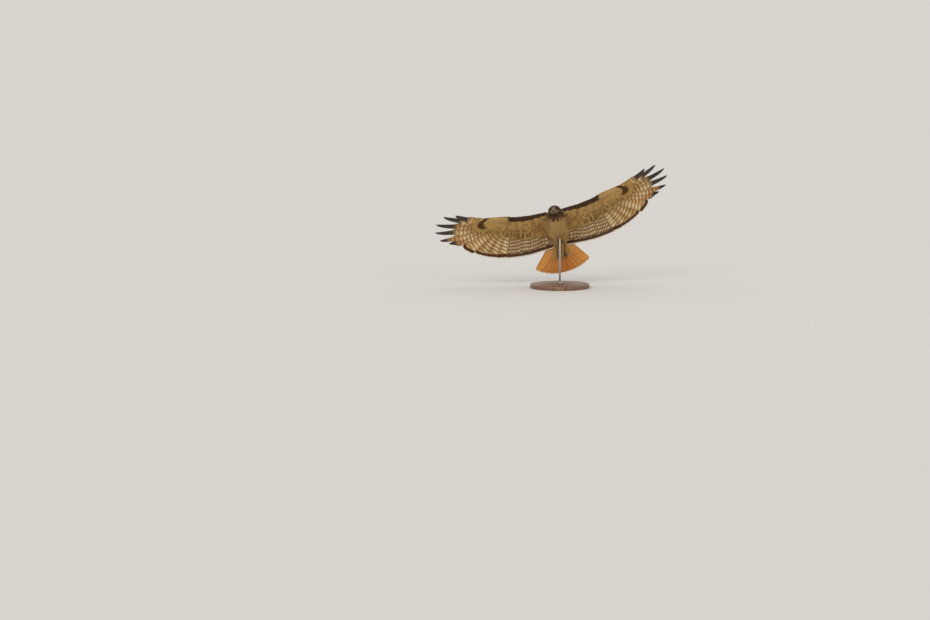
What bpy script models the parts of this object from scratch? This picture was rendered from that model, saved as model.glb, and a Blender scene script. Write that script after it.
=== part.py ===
"""A life-size red-tailed hawk soaring on a plain display stand.

Units are metres, +Z is up, and the row's origin is the middle of the base's underside. The bird is
modelled level in its own frame: +X to its left, -Y forward, +Z up, with the shoulder line at y = 0.
One empty then turns it to the climbing, banked attitude in which it is displayed.
"""

import math

import bmesh
import bpy
import numpy as np
from mathutils import Matrix, Vector

# Attitude on the stand, in degrees, and the place of the shoulder line's middle above the floor
PITCH_UP = 53.0
YAW = 9.4
BANK = 19.6
SHOULDER_PLACE = (-0.023, -0.013, 0.365)

# Gap that separate bodies keep where they meet
GAP = 0.0003

# Stand
BASE_RADIUS = 0.150
BASE_THICK = 0.020
BASE_EDGE = 0.003
ROD_RADIUS = 0.005
COLLAR_RADIUS = 0.014
COLLAR_HEIGHT = 0.012

# Body, as stations of (y, centre z, half width, half height)
BODY_STATIONS = (
    (-0.062, -0.032, 0.016, 0.016),
    (-0.050, -0.029, 0.030, 0.031),
    (-0.034, -0.024, 0.040, 0.042),
    (-0.012, -0.018, 0.050, 0.051),
    (0.014, -0.014, 0.058, 0.057),
    (0.044, -0.013, 0.063, 0.060),
    (0.078, -0.013, 0.062, 0.057),
    (0.110, -0.011, 0.056, 0.049),
    (0.142, -0.007, 0.047, 0.038),
    (0.175, -0.004, 0.038, 0.026),
    (0.205, -0.005, 0.028, 0.015),
    (0.226, -0.007, 0.014, 0.006),
)
BODY_SIDES = 20
NECK_BACK_Y = -0.012

# Head, in its own frame about the middle of the skull, facing -Y. It looks level while the body climbs.
HEAD_AT = (-0.002, -0.050, -0.020)
HEAD_UP = 6.0
HEAD_TURN = -8.0
HEAD_BANK = 4.0
HEAD_HALF = (0.0345, 0.0390, 0.0320)
HEAD_SEGMENTS = 22
HEAD_RINGS = 14
EYE_AT = (0.0206, -0.0185, 0.0050)
EYE_RADIUS = 0.0082
EYE_FORWARD = 38.0
BROW_REACH = 0.0035
BILL_BASE_Y = -0.0265
BILL_LENGTH = 0.0360
BILL_LOWER_LENGTH = 0.0236
BILL_HALF_WIDTH = 0.0105
BILL_TOP_Z = 0.0085
BILL_LOWER_DEPTH = 0.0080
HOOK_DROP = 0.0085
GAPE_Z = -0.0070
BILL_SIDES = 10
# How far along the bill the ridge starts to bend down into the hook
HOOK_FROM = 0.42

# Wing plan, as (out from the midline, back from the shoulder line)
SHOULDER = (0.040, 0.000)
ELBOW = (0.125, 0.045)
WRIST = (0.250, -0.014)
HAND_TIP = (0.356, -0.042)
LEADING_EDGE = (
    (0.020, -0.016), (0.060, -0.015), (0.130, -0.016), (0.200, -0.024),
    (0.260, -0.040), (0.330, -0.052), (0.385, -0.058),
)
TRAILING_EDGE = (
    (0.036, 0.196), (0.088, 0.204), (0.185, 0.213), (0.275, 0.208), (0.330, 0.196),
)
PRIMARY_TIPS = (
    (0.321, 0.200), (0.372, 0.184), (0.424, 0.158), (0.482, 0.122), (0.552, 0.082),
    (0.594, 0.063), (0.609, 0.010), (0.598, -0.045), (0.554, -0.098), (0.494, -0.104),
)

# Wing surface: height of the mean vane over the plan
WING_ROOT_Z = 0.022
DIHEDRAL_LEFT = 4.6
DIHEDRAL_RIGHT = 2.3
SWEEP_LEFT = -1.85
SWEEP_RIGHT = 0.2
INCIDENCE = 6.3
WASHOUT = 6.0
CAMBER = 0.016
TIP_RISE = 0.045
TIP_RISE_FROM = 0.38

# Flight feathers
PRIMARIES = 10
FINGER_NOTCHES = (None, None, None, None, 0.82, 0.66, 0.61, 0.57, 0.53, 0.50)
FINGERED_WEBS = (0.0120, 0.0330)
INNER_PRIMARY_WEBS = (0.0210, 0.0460)
SECONDARIES = 13
TERTIALS = 4
VANE_THICK = 0.0007
VANE_TILT = 0.09
QUILL_HALF = 0.0018
FEATHER_OUTER_WEB = 0.013
FEATHER_INNER_WEB = 0.032
FINGER_OUTER_WEB = 0.0065
FINGER_INNER_WEB = 0.0240
# How much narrower a finger is at its tip than at its notch
FINGER_TAPER = 0.45
# How far a feather's middle bows forwards, as a share of its length
REMEX_BOW = 0.02
FINGER_BOW = -0.004
# Share of its length past which a vane rounds off, for flight feathers and for the rest
REMEX_TIP_FROM = 0.88
TIP_FROM = 0.80
COVERT_OUTER_WEB = 0.0130
COVERT_INNER_WEB = 0.0190
COVERT_LAYER = 0.0034
COVERT_SHARE = 0.44
HAND_COVERT_SHARE = 0.36

# Arc length along the trailing edge of each tip, from the body outwards
TERTIAL_TIP_FROM = 0.018
TERTIAL_TIP_STEP = 0.020
SECONDARY_TIP_FROM = 0.0985
SECONDARY_TIP_STEP = 0.0155

# Bone and muscle core of the wing: half thickness at the shoulder, elbow, wrist and hand tip
CORE_HALF = (0.0130, 0.0105, 0.0075, 0.0036)
CORE_BEHIND_BONE = (0.026, 0.024, 0.018, 0.010)
CORE_STATIONS = 11

# Tail
RECTRICES_EACH_SIDE = 6
TAIL_ROOT = (0.0, 0.150, 0.002)
TAIL_DROP = 6.3
TAIL_LENGTH = 0.223
TAIL_OUTER_SHORTER = 0.012
TAIL_FIRST_ANGLE = 2.6
TAIL_LAST_ANGLE = 33.6
TAIL_ROOT_HALF = 0.018
TAIL_OUTER_WEB = 0.018
TAIL_INNER_WEB = 0.028
TAIL_COVERTS_EACH_SIDE = 4

# Legs and feet, tucked back under the tail
THIGH_TOP = (0.034, 0.060, -0.040)
ANKLE = (0.023, 0.145, -0.052)
THIGH_HALF = 0.024
SHIN_HALF = 0.0085
TARSUS_END = (0.019, 0.205, -0.041)
TARSUS_HALF = 0.0046
TOE_HALF = 0.0042
TOE_STEPS = 6
TALON_STEPS = 5
# Each toe: name, splay in degrees, start before the tarsus end, length, first and last angle down from
# the tarsus line, talon length, and the angle at the talon's tip
TOES = (
    ("inner", -17.0, 0.0, 0.028, 4.0, 62.0, 0.020, 120.0),
    ("middle", 0.0, 0.0, 0.039, 0.0, 58.0, 0.019, 115.0),
    ("outer", 17.0, 0.0, 0.029, 4.0, 62.0, 0.016, 120.0),
    ("hind", -6.0, 0.004, 0.018, 98.0, 52.0, 0.022, 0.0),
)


def clear_scene():
    """Removes the objects of the file that this script runs in."""
    for old in list(bpy.data.objects):
        bpy.data.objects.remove(old, do_unlink=True)


def material(name, colour, roughness, metallic=0.0):
    """A plain Principled material."""
    made = bpy.data.materials.new(name)
    made.use_nodes = True
    shader = made.node_tree.nodes["Principled BSDF"]
    shader.inputs["Base Color"].default_value = (*colour, 1.0)
    shader.inputs["Roughness"].default_value = roughness
    shader.inputs["Metallic"].default_value = metallic
    return made


def link(obj):
    """Puts an object in the scene's collection."""
    bpy.context.scene.collection.objects.link(obj)
    return obj


def object_from_bmesh(name, shape):
    """A new object of a bmesh, triangulated and with its faces pointing out."""
    bmesh.ops.triangulate(shape, faces=[f for f in shape.faces if len(f.verts) > 4])
    bmesh.ops.recalc_face_normals(shape, faces=shape.faces[:])
    data = bpy.data.meshes.new(name)
    shape.to_mesh(data)
    shape.free()
    return link(bpy.data.objects.new(name, data))


def loft(name, rings, flipped=()):
    """A closed body through rings of equal length.

    Each quad is split along one diagonal, and the sides named in flipped along the other, which is how the
    two faces of a thin vane come to be split alike.
    """
    shape = bmesh.new()
    rows = [[shape.verts.new(p) for p in ring] for ring in rings]
    count = len(rows[0])
    for low, high in zip(rows, rows[1:]):
        for i in range(count):
            j = (i + 1) % count
            if i in flipped:
                shape.faces.new((low[i], low[j], high[i]))
                shape.faces.new((low[j], high[j], high[i]))
            else:
                shape.faces.new((low[i], low[j], high[j]))
                shape.faces.new((low[i], high[j], high[i]))
    for row in (rows[0], rows[-1]):
        shape.faces.new(row)
    return object_from_bmesh(name, shape)


def evaluated_copy(obj):
    """The mesh of an object with its modifiers applied."""
    bpy.context.view_layer.update()
    graph = bpy.context.evaluated_depsgraph_get()
    return bpy.data.meshes.new_from_object(obj.evaluated_get(graph), depsgraph=graph)


def largest_surface(data):
    """Keeps only the connected surface that encloses the most, and drops the rest."""
    shape = bmesh.new()
    shape.from_mesh(data)
    bmesh.ops.triangulate(shape, faces=shape.faces[:])
    seen = set()
    groups = []
    for start in shape.verts:
        if start in seen:
            continue
        group = {start}
        edge = [start]
        while edge:
            here = edge.pop()
            for side in here.link_edges:
                other = side.other_vert(here)
                if other not in group:
                    group.add(other)
                    edge.append(other)
        seen |= group
        groups.append(group)

    def volume(group):
        faces = {f for v in group for f in v.link_faces}
        return abs(sum(f.verts[0].co.dot(f.verts[1].co.cross(f.verts[2].co)) for f in faces))

    keep = max(groups, key=volume)
    bmesh.ops.delete(shape, geom=[v for v in shape.verts if v not in keep], context="VERTS")
    for face in shape.faces:
        face.material_index = 0
    shape.to_mesh(data)
    shape.free()


def boolean(obj, operation, others, solver="EXACT"):
    """Applies one Boolean of a collection of closed meshes to an object, and removes them."""
    operands = bpy.data.collections.new(obj.name + "_operands")
    bpy.context.scene.collection.children.link(operands)
    for other in others:
        operands.objects.link(other)
    modifier = obj.modifiers.new(operation.lower(), "BOOLEAN")
    modifier.operation = operation
    modifier.operand_type = "COLLECTION"
    modifier.collection = operands
    modifier.solver = solver
    result = evaluated_copy(obj)
    result.materials.clear()
    obj.modifiers.clear()
    obj.data = result
    for other in others:
        bpy.data.objects.remove(other, do_unlink=True)
    bpy.data.collections.remove(operands)
    largest_surface(obj.data)
    return obj


def fuse(obj, pieces):
    """Joins closed pieces to an object as one body."""
    return boolean(obj, "UNION", pieces, "MANIFOLD")


def carve(obj, cutters, solver="MANIFOLD"):
    """Cuts closed bodies out of an object."""
    return boolean(obj, "DIFFERENCE", cutters, solver)


def smooth_curve(points, steps):
    """Points of a Catmull-Rom curve through the given ones, the same number in each stretch."""
    path = [np.array(p, float) for p in points]
    path = [2 * path[0] - path[1], *path, 2 * path[-1] - path[-2]]
    found = []
    for a, b, c, d in zip(path, path[1:], path[2:], path[3:]):
        for k in range(steps):
            t = k / steps
            found.append(
                0.5
                * (2 * b + (c - a) * t + (2 * a - 5 * b + 4 * c - d) * t**2 + (3 * b - a - 3 * c + d) * t**3)
            )
    found.append(path[-2])
    return np.array(found)


def at_length(path, length):
    """The point of a path at an arc length from its start."""
    steps = np.linalg.norm(np.diff(path, axis=0), axis=1)
    along = np.concatenate([[0.0], np.cumsum(steps)])
    return np.array([np.interp(length, along, path[:, k]) for k in range(path.shape[1])])


def turned(about_x, about_y, about_z):
    """The attitude's rotation: yaw first, then the nose pitched up, then the bank."""
    pitch = Matrix.Rotation(-math.radians(about_x), 4, "X")
    bank = Matrix.Rotation(-math.radians(about_y), 4, "Y")
    yaw = Matrix.Rotation(math.radians(about_z), 4, "Z")
    return bank @ pitch @ yaw


# Body, neck and head


def body_ring(station, grow):
    """One cross-section of the body, grown outwards by a small amount."""
    y, centre, half_width, half_height = station
    angles = [2 * math.pi * k / BODY_SIDES for k in range(BODY_SIDES)]
    return [
        ((half_width + grow) * math.cos(a), y, centre + (half_height + grow) * math.sin(a))
        for a in angles
    ]


def body_between(name, y_front, y_back, grow=0.0):
    """The body's loft between two cross-sections, which need not be stations."""
    ys = [s[0] for s in BODY_STATIONS]
    inside = [y for y in ys if y_front < y < y_back]
    rings = []
    for y in (y_front, *inside, y_back):
        station = [float(np.interp(y, ys, [s[k] for s in BODY_STATIONS])) for k in range(4)]
        rings.append(body_ring(station, grow))
    return loft(name, rings)


def head_matrix():
    """Places the head's own frame on the body, undoing the body's attitude and giving the head its own."""
    body = turned(PITCH_UP, BANK, YAW)
    return Matrix.Translation(HEAD_AT) @ body.inverted() @ turned(HEAD_UP, HEAD_BANK, HEAD_TURN)


def eye_matrix(side):
    """Places one eye in the head, looking out and forwards."""
    x, y, z = EYE_AT
    place = Matrix.Translation((side * x, y, z))
    return place @ Matrix.Rotation(-side * math.radians(EYE_FORWARD), 4, "Z")


def pushed(point, centre, reach, shift):
    """A point moved by a shift that fades smoothly to nothing at a distance from a centre."""
    away = min((point - Vector(centre)).length / reach, 1.0)
    return point + Vector(shift) * (1 - away * away) ** 2


def head_surface(grow=0.0):
    """The feathered head: an egg with a flat crown, brows, full cheeks and a face that narrows."""
    shape = bmesh.new()
    bmesh.ops.create_uvsphere(shape, u_segments=HEAD_SEGMENTS, v_segments=HEAD_RINGS, radius=1.0)
    bmesh.ops.rotate(shape, matrix=Matrix.Rotation(math.radians(90), 3, "X"), verts=shape.verts[:])
    half = [h + grow for h in HEAD_HALF]
    for vert in shape.verts:
        x, y, z = vert.co
        forward = max(0.0, -y)
        narrow = 1 - 0.30 * forward**2
        point = Vector((half[0] * x * narrow, half[1] * y, half[2] * z * (1 - 0.22 * forward**2)))
        point.z -= 0.0030 * forward**2
        for side in (1, -1):
            eye = Vector((side * EYE_AT[0], EYE_AT[1], EYE_AT[2]))
            brow = eye + Vector((side * 0.001, 0.000, 0.0110))
            point = pushed(point, brow, 0.015, (side * BROW_REACH, -0.0010, 0.0004))
            point = pushed(point, eye + Vector((side * 0.004, 0, -0.001)), 0.0125, (-side * 0.0035, 0.0010, 0))
            cheek = eye + Vector((0.0, 0.010, -0.014))
            point = pushed(point, cheek, 0.020, (side * 0.0025, 0.0, -0.0005))
        vert.co = point
    return shape


def head_body(name, grow=0.0):
    """The head as a closed mesh in the bird's frame."""
    shape = head_surface(grow)
    bmesh.ops.transform(shape, matrix=head_matrix(), verts=shape.verts[:])
    return object_from_bmesh(name, shape)


def eyeball(name, side, grow=0.0):
    """One eyeball."""
    shape = bmesh.new()
    bmesh.ops.create_uvsphere(shape, u_segments=16, v_segments=10, radius=EYE_RADIUS + grow)
    place = head_matrix() @ eye_matrix(side)
    bmesh.ops.rotate(shape, matrix=Matrix.Rotation(math.radians(90), 3, "X"), verts=shape.verts[:])
    bmesh.ops.transform(shape, matrix=place, verts=shape.verts[:])
    return object_from_bmesh(name, shape)


def bill_ring(share, upper):
    """One cross-section of the bill, at a share of the way from the face to its tip."""
    if upper:
        bend = max(0.0, (share - HOOK_FROM) / (1 - HOOK_FROM))
        y = BILL_BASE_Y - BILL_LENGTH * (share - 0.12 * bend**2)
        bottom = GAPE_Z + 0.5 * GAP - HOOK_DROP * max(0.0, (share - 0.72) / 0.28) ** 1.5
        top = BILL_TOP_Z - (BILL_TOP_Z - GAPE_Z + HOOK_DROP) * bend**2.1
        top = max(top, bottom + 0.0008)
        half = BILL_HALF_WIDTH * (1 - share**1.5) + 0.0006
    else:
        y = BILL_BASE_Y - BILL_LOWER_LENGTH * share
        top = GAPE_Z - 0.5 * GAP
        bottom = GAPE_Z - BILL_LOWER_DEPTH * (1 - 0.62 * share**1.4)
        half = 0.88 * BILL_HALF_WIDTH * (1 - 0.80 * share**1.6)
    middle = 0.5 * (top + bottom)
    tall = 0.5 * (top - bottom)
    ring = []
    for k in range(BILL_SIDES):
        a = 2 * math.pi * (k + 0.5) / BILL_SIDES
        flat = 0.45 if math.sin(a) * (1 if upper else -1) < 0 else 1.0
        across = math.copysign(abs(math.cos(a)) ** (0.5 + 0.5 * flat), math.cos(a))
        ring.append((half * across, y, middle + tall * math.copysign(abs(math.sin(a)) ** flat, math.sin(a))))
    return ring


def bill_half(name, upper):
    """The upper or the lower half of the bill."""
    shares = (0.0, 0.25, 0.45, 0.6, 0.72, 0.82, 0.91, 1.0) if upper else (0.0, 0.35, 0.65, 0.88, 1.0)
    rings = [bill_ring(s, upper) for s in shares]
    made = loft(name, rings)
    made.data.transform(head_matrix())
    return made


def make_head(paint):
    """Head, eyes and bill, each cut clear of its neighbours."""
    head = head_body("head")
    carve(head, [eyeball("socket", side, GAP) for side in (1, -1)])
    eyes = [eyeball("eye_left", 1), eyeball("eye_right", -1)]
    upper = carve(bill_half("bill_upper", True), [head_body("face", GAP)])
    lower = carve(bill_half("bill_lower", False), [head_body("face", GAP)])
    for obj, slot in ((head, "head"), (upper, "bill"), (lower, "bill"), (eyes[0], "eye"), (eyes[1], "eye")):
        obj.data.materials.append(paint[slot])
    return [head, upper, lower, *eyes]


def make_torso(paint):
    """Torso and neck, parted by a thin plane, with the neck cut clear of the head."""
    torso = body_between("torso", NECK_BACK_Y + GAP, BODY_STATIONS[-1][0])
    neck = body_between("neck", BODY_STATIONS[0][0], NECK_BACK_Y)
    carve(neck, [head_body("nape", GAP)])
    for obj in (torso, neck):
        obj.data.materials.append(paint["body"])
    return [torso, neck]


def torso_cutter(grow=GAP):
    """The whole body and neck, a gap larger all round, for cutting what grows from it."""
    return body_between("cutter", BODY_STATIONS[0][0], BODY_STATIONS[-1][0] + grow, grow)


# Feathers


def wing_height(out, back, dihedral):
    """Height of the wing's mean surface over its plan."""
    rise = math.tan(math.radians(dihedral)) * max(0.0, out - SHOULDER[0])
    flex = TIP_RISE * max(0.0, (out - TIP_RISE_FROM) / (0.61 - TIP_RISE_FROM)) ** 2
    tilt = math.radians(INCIDENCE - WASHOUT * min(1.0, out / 0.60))
    chord = max(0.0, (back - 0.02) / 0.18)
    fade = 1 - 0.6 * min(1.0, max(0.0, (out - 0.30) / 0.30))
    return WING_ROOT_Z + rise + flex - math.tan(tilt) * back - CAMBER * fade * chord**2


def wing_point(side, out, back, above):
    """A point of a wing from its plan and its height over the mean surface."""
    dihedral = DIHEDRAL_LEFT if side > 0 else DIHEDRAL_RIGHT
    sweep = math.radians(SWEEP_LEFT if side > 0 else SWEEP_RIGHT)
    height = wing_height(out, back, dihedral) + above
    reach = out - SHOULDER[0]
    x = SHOULDER[0] + reach * math.cos(sweep) - back * math.sin(sweep)
    y = reach * math.sin(sweep) + back * math.cos(sweep)
    return (side * x, y, height)


def web_share(t, quill_end, full_from, tip_from):
    """How much of its full width a feather's web has at a share of its length."""
    spread = min(1.0, max(0.0, (t - quill_end) / (full_from - quill_end)))
    spread = spread * spread * (3 - 2 * spread)
    tip = max(0.0, (t - tip_from) / (1 - tip_from))
    return spread * math.sqrt(max(0.0, 1 - tip**2.4))


def vane(
    name, place, root, tip, webs, layer, tilt, shares,
    bow=0.02, notch=None, quill_end=0.10, full_from=0.34, tip_from=TIP_FROM,
):
    """One feather as a thin closed plate.

    place maps plan and height to space; webs are the outer and inner widths; layer is the height at the
    root and at the tip; notch is the share of the length past which the webs narrow to a finger.
    """
    root, tip = np.array(root, float), np.array(tip, float)
    run = tip - root
    side_on = np.array([run[1], -run[0]]) / np.linalg.norm(run)
    rings = []
    for t in shares:
        middle = root + run * t + side_on * bow * np.linalg.norm(run) * 4 * t * (1 - t)
        share = web_share(t, quill_end, full_from, tip_from)
        outer, inner = webs
        if notch is not None:
            step = min(1.0, max(0.0, (t - notch) / 0.12))
            step = step * step * (3 - 2 * step)
            taper = 1 - FINGER_TAPER * max(0.0, (t - notch) / (1 - notch))
            outer += (FINGER_OUTER_WEB * taper - outer) * step
            inner += (FINGER_INNER_WEB * taper - inner) * step
        half_outer = max(QUILL_HALF, outer * share)
        half_inner = max(QUILL_HALF, inner * share)
        base = layer[0] + (layer[1] - layer[0]) * t
        thick = 0.5 * VANE_THICK
        a = middle + side_on * half_outer
        b = middle - side_on * half_inner
        rings.append(
            [
                place(a[0], a[1], base + tilt * half_outer + thick),
                place(b[0], b[1], base - tilt * half_inner + thick),
                place(b[0], b[1], base - tilt * half_inner - thick),
                place(a[0], a[1], base + tilt * half_outer - thick),
            ]
        )
    return loft(name, rings, flipped=(2,))


def trailing_edge():
    """The trailing edge's curve, from the body out to the innermost finger."""
    return smooth_curve(TRAILING_EDGE, 6)


def flight_feathers():
    """Root, tip, webs and notch of each flight feather of one wing, from the body outwards."""
    edge = trailing_edge()
    shoulder, elbow, wrist, hand = (np.array(p) for p in (SHOULDER, ELBOW, WRIST, HAND_TIP))
    found = []
    for k in range(TERTIALS):
        root = shoulder + (elbow - shoulder) * (0.30 + 0.70 * (k + 0.5) / TERTIALS)
        tip = at_length(edge, TERTIAL_TIP_FROM + TERTIAL_TIP_STEP * k)
        found.append((root, tip, (FEATHER_OUTER_WEB, 0.85 * FEATHER_INNER_WEB), None))
    for k in range(SECONDARIES):
        root = elbow + (wrist - elbow) * (k + 0.5) / SECONDARIES
        tip = at_length(edge, SECONDARY_TIP_FROM + SECONDARY_TIP_STEP * k)
        found.append((root, tip, (FEATHER_OUTER_WEB, FEATHER_INNER_WEB), None))
    for k in range(PRIMARIES):
        root = wrist + (hand - wrist) * (k + 0.5) / PRIMARIES
        notch = FINGER_NOTCHES[k]
        webs = INNER_PRIMARY_WEBS if notch is None else FINGERED_WEBS
        found.append((root, PRIMARY_TIPS[k], webs, notch))
    return found


def core_at(out):
    """Bone line, half thickness and reach behind the bone at a distance out along the wing."""
    outs = [p[0] for p in (SHOULDER, ELBOW, WRIST, HAND_TIP)]
    backs = [p[1] for p in (SHOULDER, ELBOW, WRIST, HAND_TIP)]
    bone = float(np.interp(out, outs, backs))
    half = float(np.interp(out, outs, CORE_HALF))
    behind = float(np.interp(out, outs, CORE_BEHIND_BONE))
    return bone, half, behind


def wing_core(name, place):
    """The arm and hand: a rounded spar from the leading edge back past the bones."""
    edge = smooth_curve(LEADING_EDGE, 6)
    rings = []
    for out in np.linspace(edge[0][0], edge[-1][0], CORE_STATIONS):
        front = float(np.interp(out, edge[:, 0], edge[:, 1]))
        bone, half, behind = core_at(out)
        back = bone + behind
        deep = back - front
        half_back = 0.62 * half
        section = (
            (0.00, 0.25), (0.08, 0.72), (0.35, 1.00), (0.70, 0.88), (1.00, half_back / half),
            (1.00, -half_back / half), (0.70, -0.80), (0.35, -0.85), (0.08, -0.62), (0.00, -0.25),
        )
        rings.append([place(out, front + deep * c, half * h) for c, h in section])
    return loft(name, rings)


def make_wing(name, side, paint):
    """One wing: the core with its flight feathers and a tier of coverts above and below."""

    def place(out, back, above):
        return wing_point(side, out, back, above)

    wing = wing_core(name, place)
    pieces = []
    shares = (0.0, 0.16, 0.36, 0.86, 0.95, 0.995)
    finger_shares = (0.0, 0.16, 0.36, 0.50, 0.64, 0.80, 0.93, 0.995)
    for index, (root, tip, webs, notch) in enumerate(flight_feathers()):
        steps = shares if notch is None else finger_shares
        rounding, bow = (REMEX_TIP_FROM, REMEX_BOW) if notch is None else (TIP_FROM, FINGER_BOW)
        pieces.append(
            vane(
                f"remex_{index}", place, root, tip, webs, (0.0, 0.0), VANE_TILT, steps,
                bow=bow, notch=notch, tip_from=rounding,
            )
        )
        if index % 2:
            continue
        hand = index >= TERTIALS + SECONDARIES
        share = HAND_COVERT_SHARE if hand else COVERT_SHARE
        covert_tip = root + (np.array(tip) - root) * share
        half = core_at(root[0])[1]
        for way in (1, -1):
            layer = (way * 0.30 * half, way * COVERT_LAYER)
            covert_webs = (COVERT_OUTER_WEB, COVERT_INNER_WEB)
            pieces.append(
                vane(
                    f"covert_{index}_{way}", place, root, covert_tip, covert_webs, layer, 0.6 * VANE_TILT,
                    (0.0, 0.40, 0.85, 0.99), quill_end=0.05, full_from=0.40,
                )
            )
    fuse(wing, pieces)
    carve(wing, [torso_cutter()])
    wing.data.materials.append(paint["wing"])
    return wing


def make_tail(paint):
    """The tail: a fan of twelve feathers and short coverts, on a root that sinks in the rump."""
    drop = Matrix.Rotation(-math.radians(TAIL_DROP), 4, "X")
    origin = Vector(TAIL_ROOT)

    def place(out, back, above):
        return tuple(origin + drop @ Vector((out, back, above)))

    section = [(1.0, 0.0), (0.6, 0.8), (-0.6, 0.8), (-1.0, 0.0), (-0.6, -0.8), (0.6, -0.8)]
    rings = [
        [place(half * x, back, thick * z) for x, z in section]
        for back, half, thick in ((-0.012, 0.020, 0.004), (0.030, 0.046, 0.0046), (0.066, 0.066, 0.0026))
    ]
    tail = loft("tail", rings)
    shares = (0.0, 0.14, 0.42, 0.88, 0.97, 0.998)
    pieces = []
    for side in (1, -1):
        for k in range(RECTRICES_EACH_SIDE):
            share = k / (RECTRICES_EACH_SIDE - 1)
            angle = math.radians(TAIL_FIRST_ANGLE + (TAIL_LAST_ANGLE - TAIL_FIRST_ANGLE) * share)
            length = TAIL_LENGTH - TAIL_OUTER_SHORTER * share**2
            root = np.array([0.002 + (TAIL_ROOT_HALF - 0.002) * share, 0.0])
            tip = root + length * np.array([math.sin(angle), math.cos(angle)])
            layer = 0.0006 + 0.0006 * side - 0.0004 * k

            def mirrored(out, back, above, side=side):
                return place(side * out, back, above)

            pieces.append(
                vane(
                    f"rectrix_{side}_{k}", mirrored, root, tip, (TAIL_OUTER_WEB, TAIL_INNER_WEB),
                    (layer, layer), 0.07, shares, bow=-0.012, quill_end=0.06, full_from=0.34,
                )
            )
        for k in range(TAIL_COVERTS_EACH_SIDE):
            angle = math.radians(4 + 8.5 * k)
            for way, long in ((1, 0.085), (-1, 0.100)):
                root = np.array([0.003 + 0.005 * k, 0.0])
                tip = root + (long - 0.008 * k) * np.array([math.sin(angle), math.cos(angle)])
                layer = (way * 0.0022, way * (0.0052 + 0.0008 * side))

                def mirrored(out, back, above, side=side):
                    return place(side * out, back, above)

                pieces.append(
                    vane(
                        f"tail_covert_{side}_{k}_{way}", mirrored, root, tip, (0.012, 0.014), layer,
                        0.05, (0.0, 0.40, 0.80, 0.99), quill_end=0.05, full_from=0.40,
                    )
                )
    fuse(tail, pieces)
    carve(tail, [torso_cutter()])
    tail.data.materials.append(paint["tail"])
    return tail


# Legs


def tapered_tube(name, points, radii, resolution=2):
    """A tube through points with its own radius at each, as a closed mesh."""
    data = bpy.data.curves.new(name, "CURVE")
    data.dimensions = "3D"
    data.bevel_depth = 1.0
    data.bevel_resolution = resolution
    data.use_fill_caps = True
    spline = data.splines.new("POLY")
    spline.points.add(len(points) - 1)
    for spot, point, radius in zip(spline.points, points, radii):
        spot.co = (*point, 1.0)
        spot.radius = radius
    curve = link(bpy.data.objects.new(name + "_curve", data))
    shape = bmesh.new()
    shape.from_mesh(evaluated_copy(curve))
    bmesh.ops.remove_doubles(shape, verts=shape.verts[:], dist=0.00001)
    bpy.data.objects.remove(curve, do_unlink=True)
    return object_from_bmesh(name, shape)


def leg_path(side):
    """Centre line and radii of the feathered leg."""
    top, ankle = Vector(THIGH_TOP), Vector(ANKLE)
    shares = (0.0, 0.2, 0.45, 0.7, 0.88, 1.0)
    sizes = (0.80, 1.0, 0.95, 0.72, 0.52, SHIN_HALF / THIGH_HALF)
    points = [top.lerp(ankle, s) for s in shares]
    return [(side * p.x, p.y, p.z) for p in points], [THIGH_HALF * s for s in sizes]


def leg_body(name, side, grow=0.0):
    """The feathered thigh and shin, in one taper that ends at the ankle."""
    points, radii = leg_path(side)
    if grow:
        end, before = Vector(points[-1]), Vector(points[-2])
        points[-1] = tuple(end + (end - before).normalized() * grow)
    return tapered_tube(name, points, [r + grow for r in radii], 4)


def curled(start, along, down, length, from_angle, to_angle, steps, power):
    """Points of a curl that starts at an angle below one direction and ends at another."""
    points = [start]
    for k in range(steps):
        share = (k + 0.5) / steps
        angle = math.radians(from_angle + (to_angle - from_angle) * share**power)
        points.append(points[-1] + (along * math.cos(angle) + down * math.sin(angle)) * (length / steps))
    return points


def toe_path(side, toe):
    """Centre line of a folded toe and of its talon beyond it."""
    splay, behind, length, first, last, talon, talon_last = toe[1:]
    ankle = Vector((side * ANKLE[0], ANKLE[1], ANKLE[2]))
    end = Vector((side * TARSUS_END[0], TARSUS_END[1], TARSUS_END[2]))
    along = (end - ankle).normalized()
    across = along.cross(Vector((0, 0, -1))).normalized()
    down = across.cross(along).normalized()
    splay = math.radians(splay * side)
    heading = along * math.cos(splay) + across * math.sin(splay)
    toe_points = curled(end - along * behind, heading, down, length, first, last, TOE_STEPS, 1.5)
    base = toe_points[-1] + (toe_points[-1] - toe_points[-2]).normalized() * 3 * GAP
    return toe_points, curled(base, heading, down, talon, last, talon_last, TALON_STEPS, 1.0)


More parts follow.
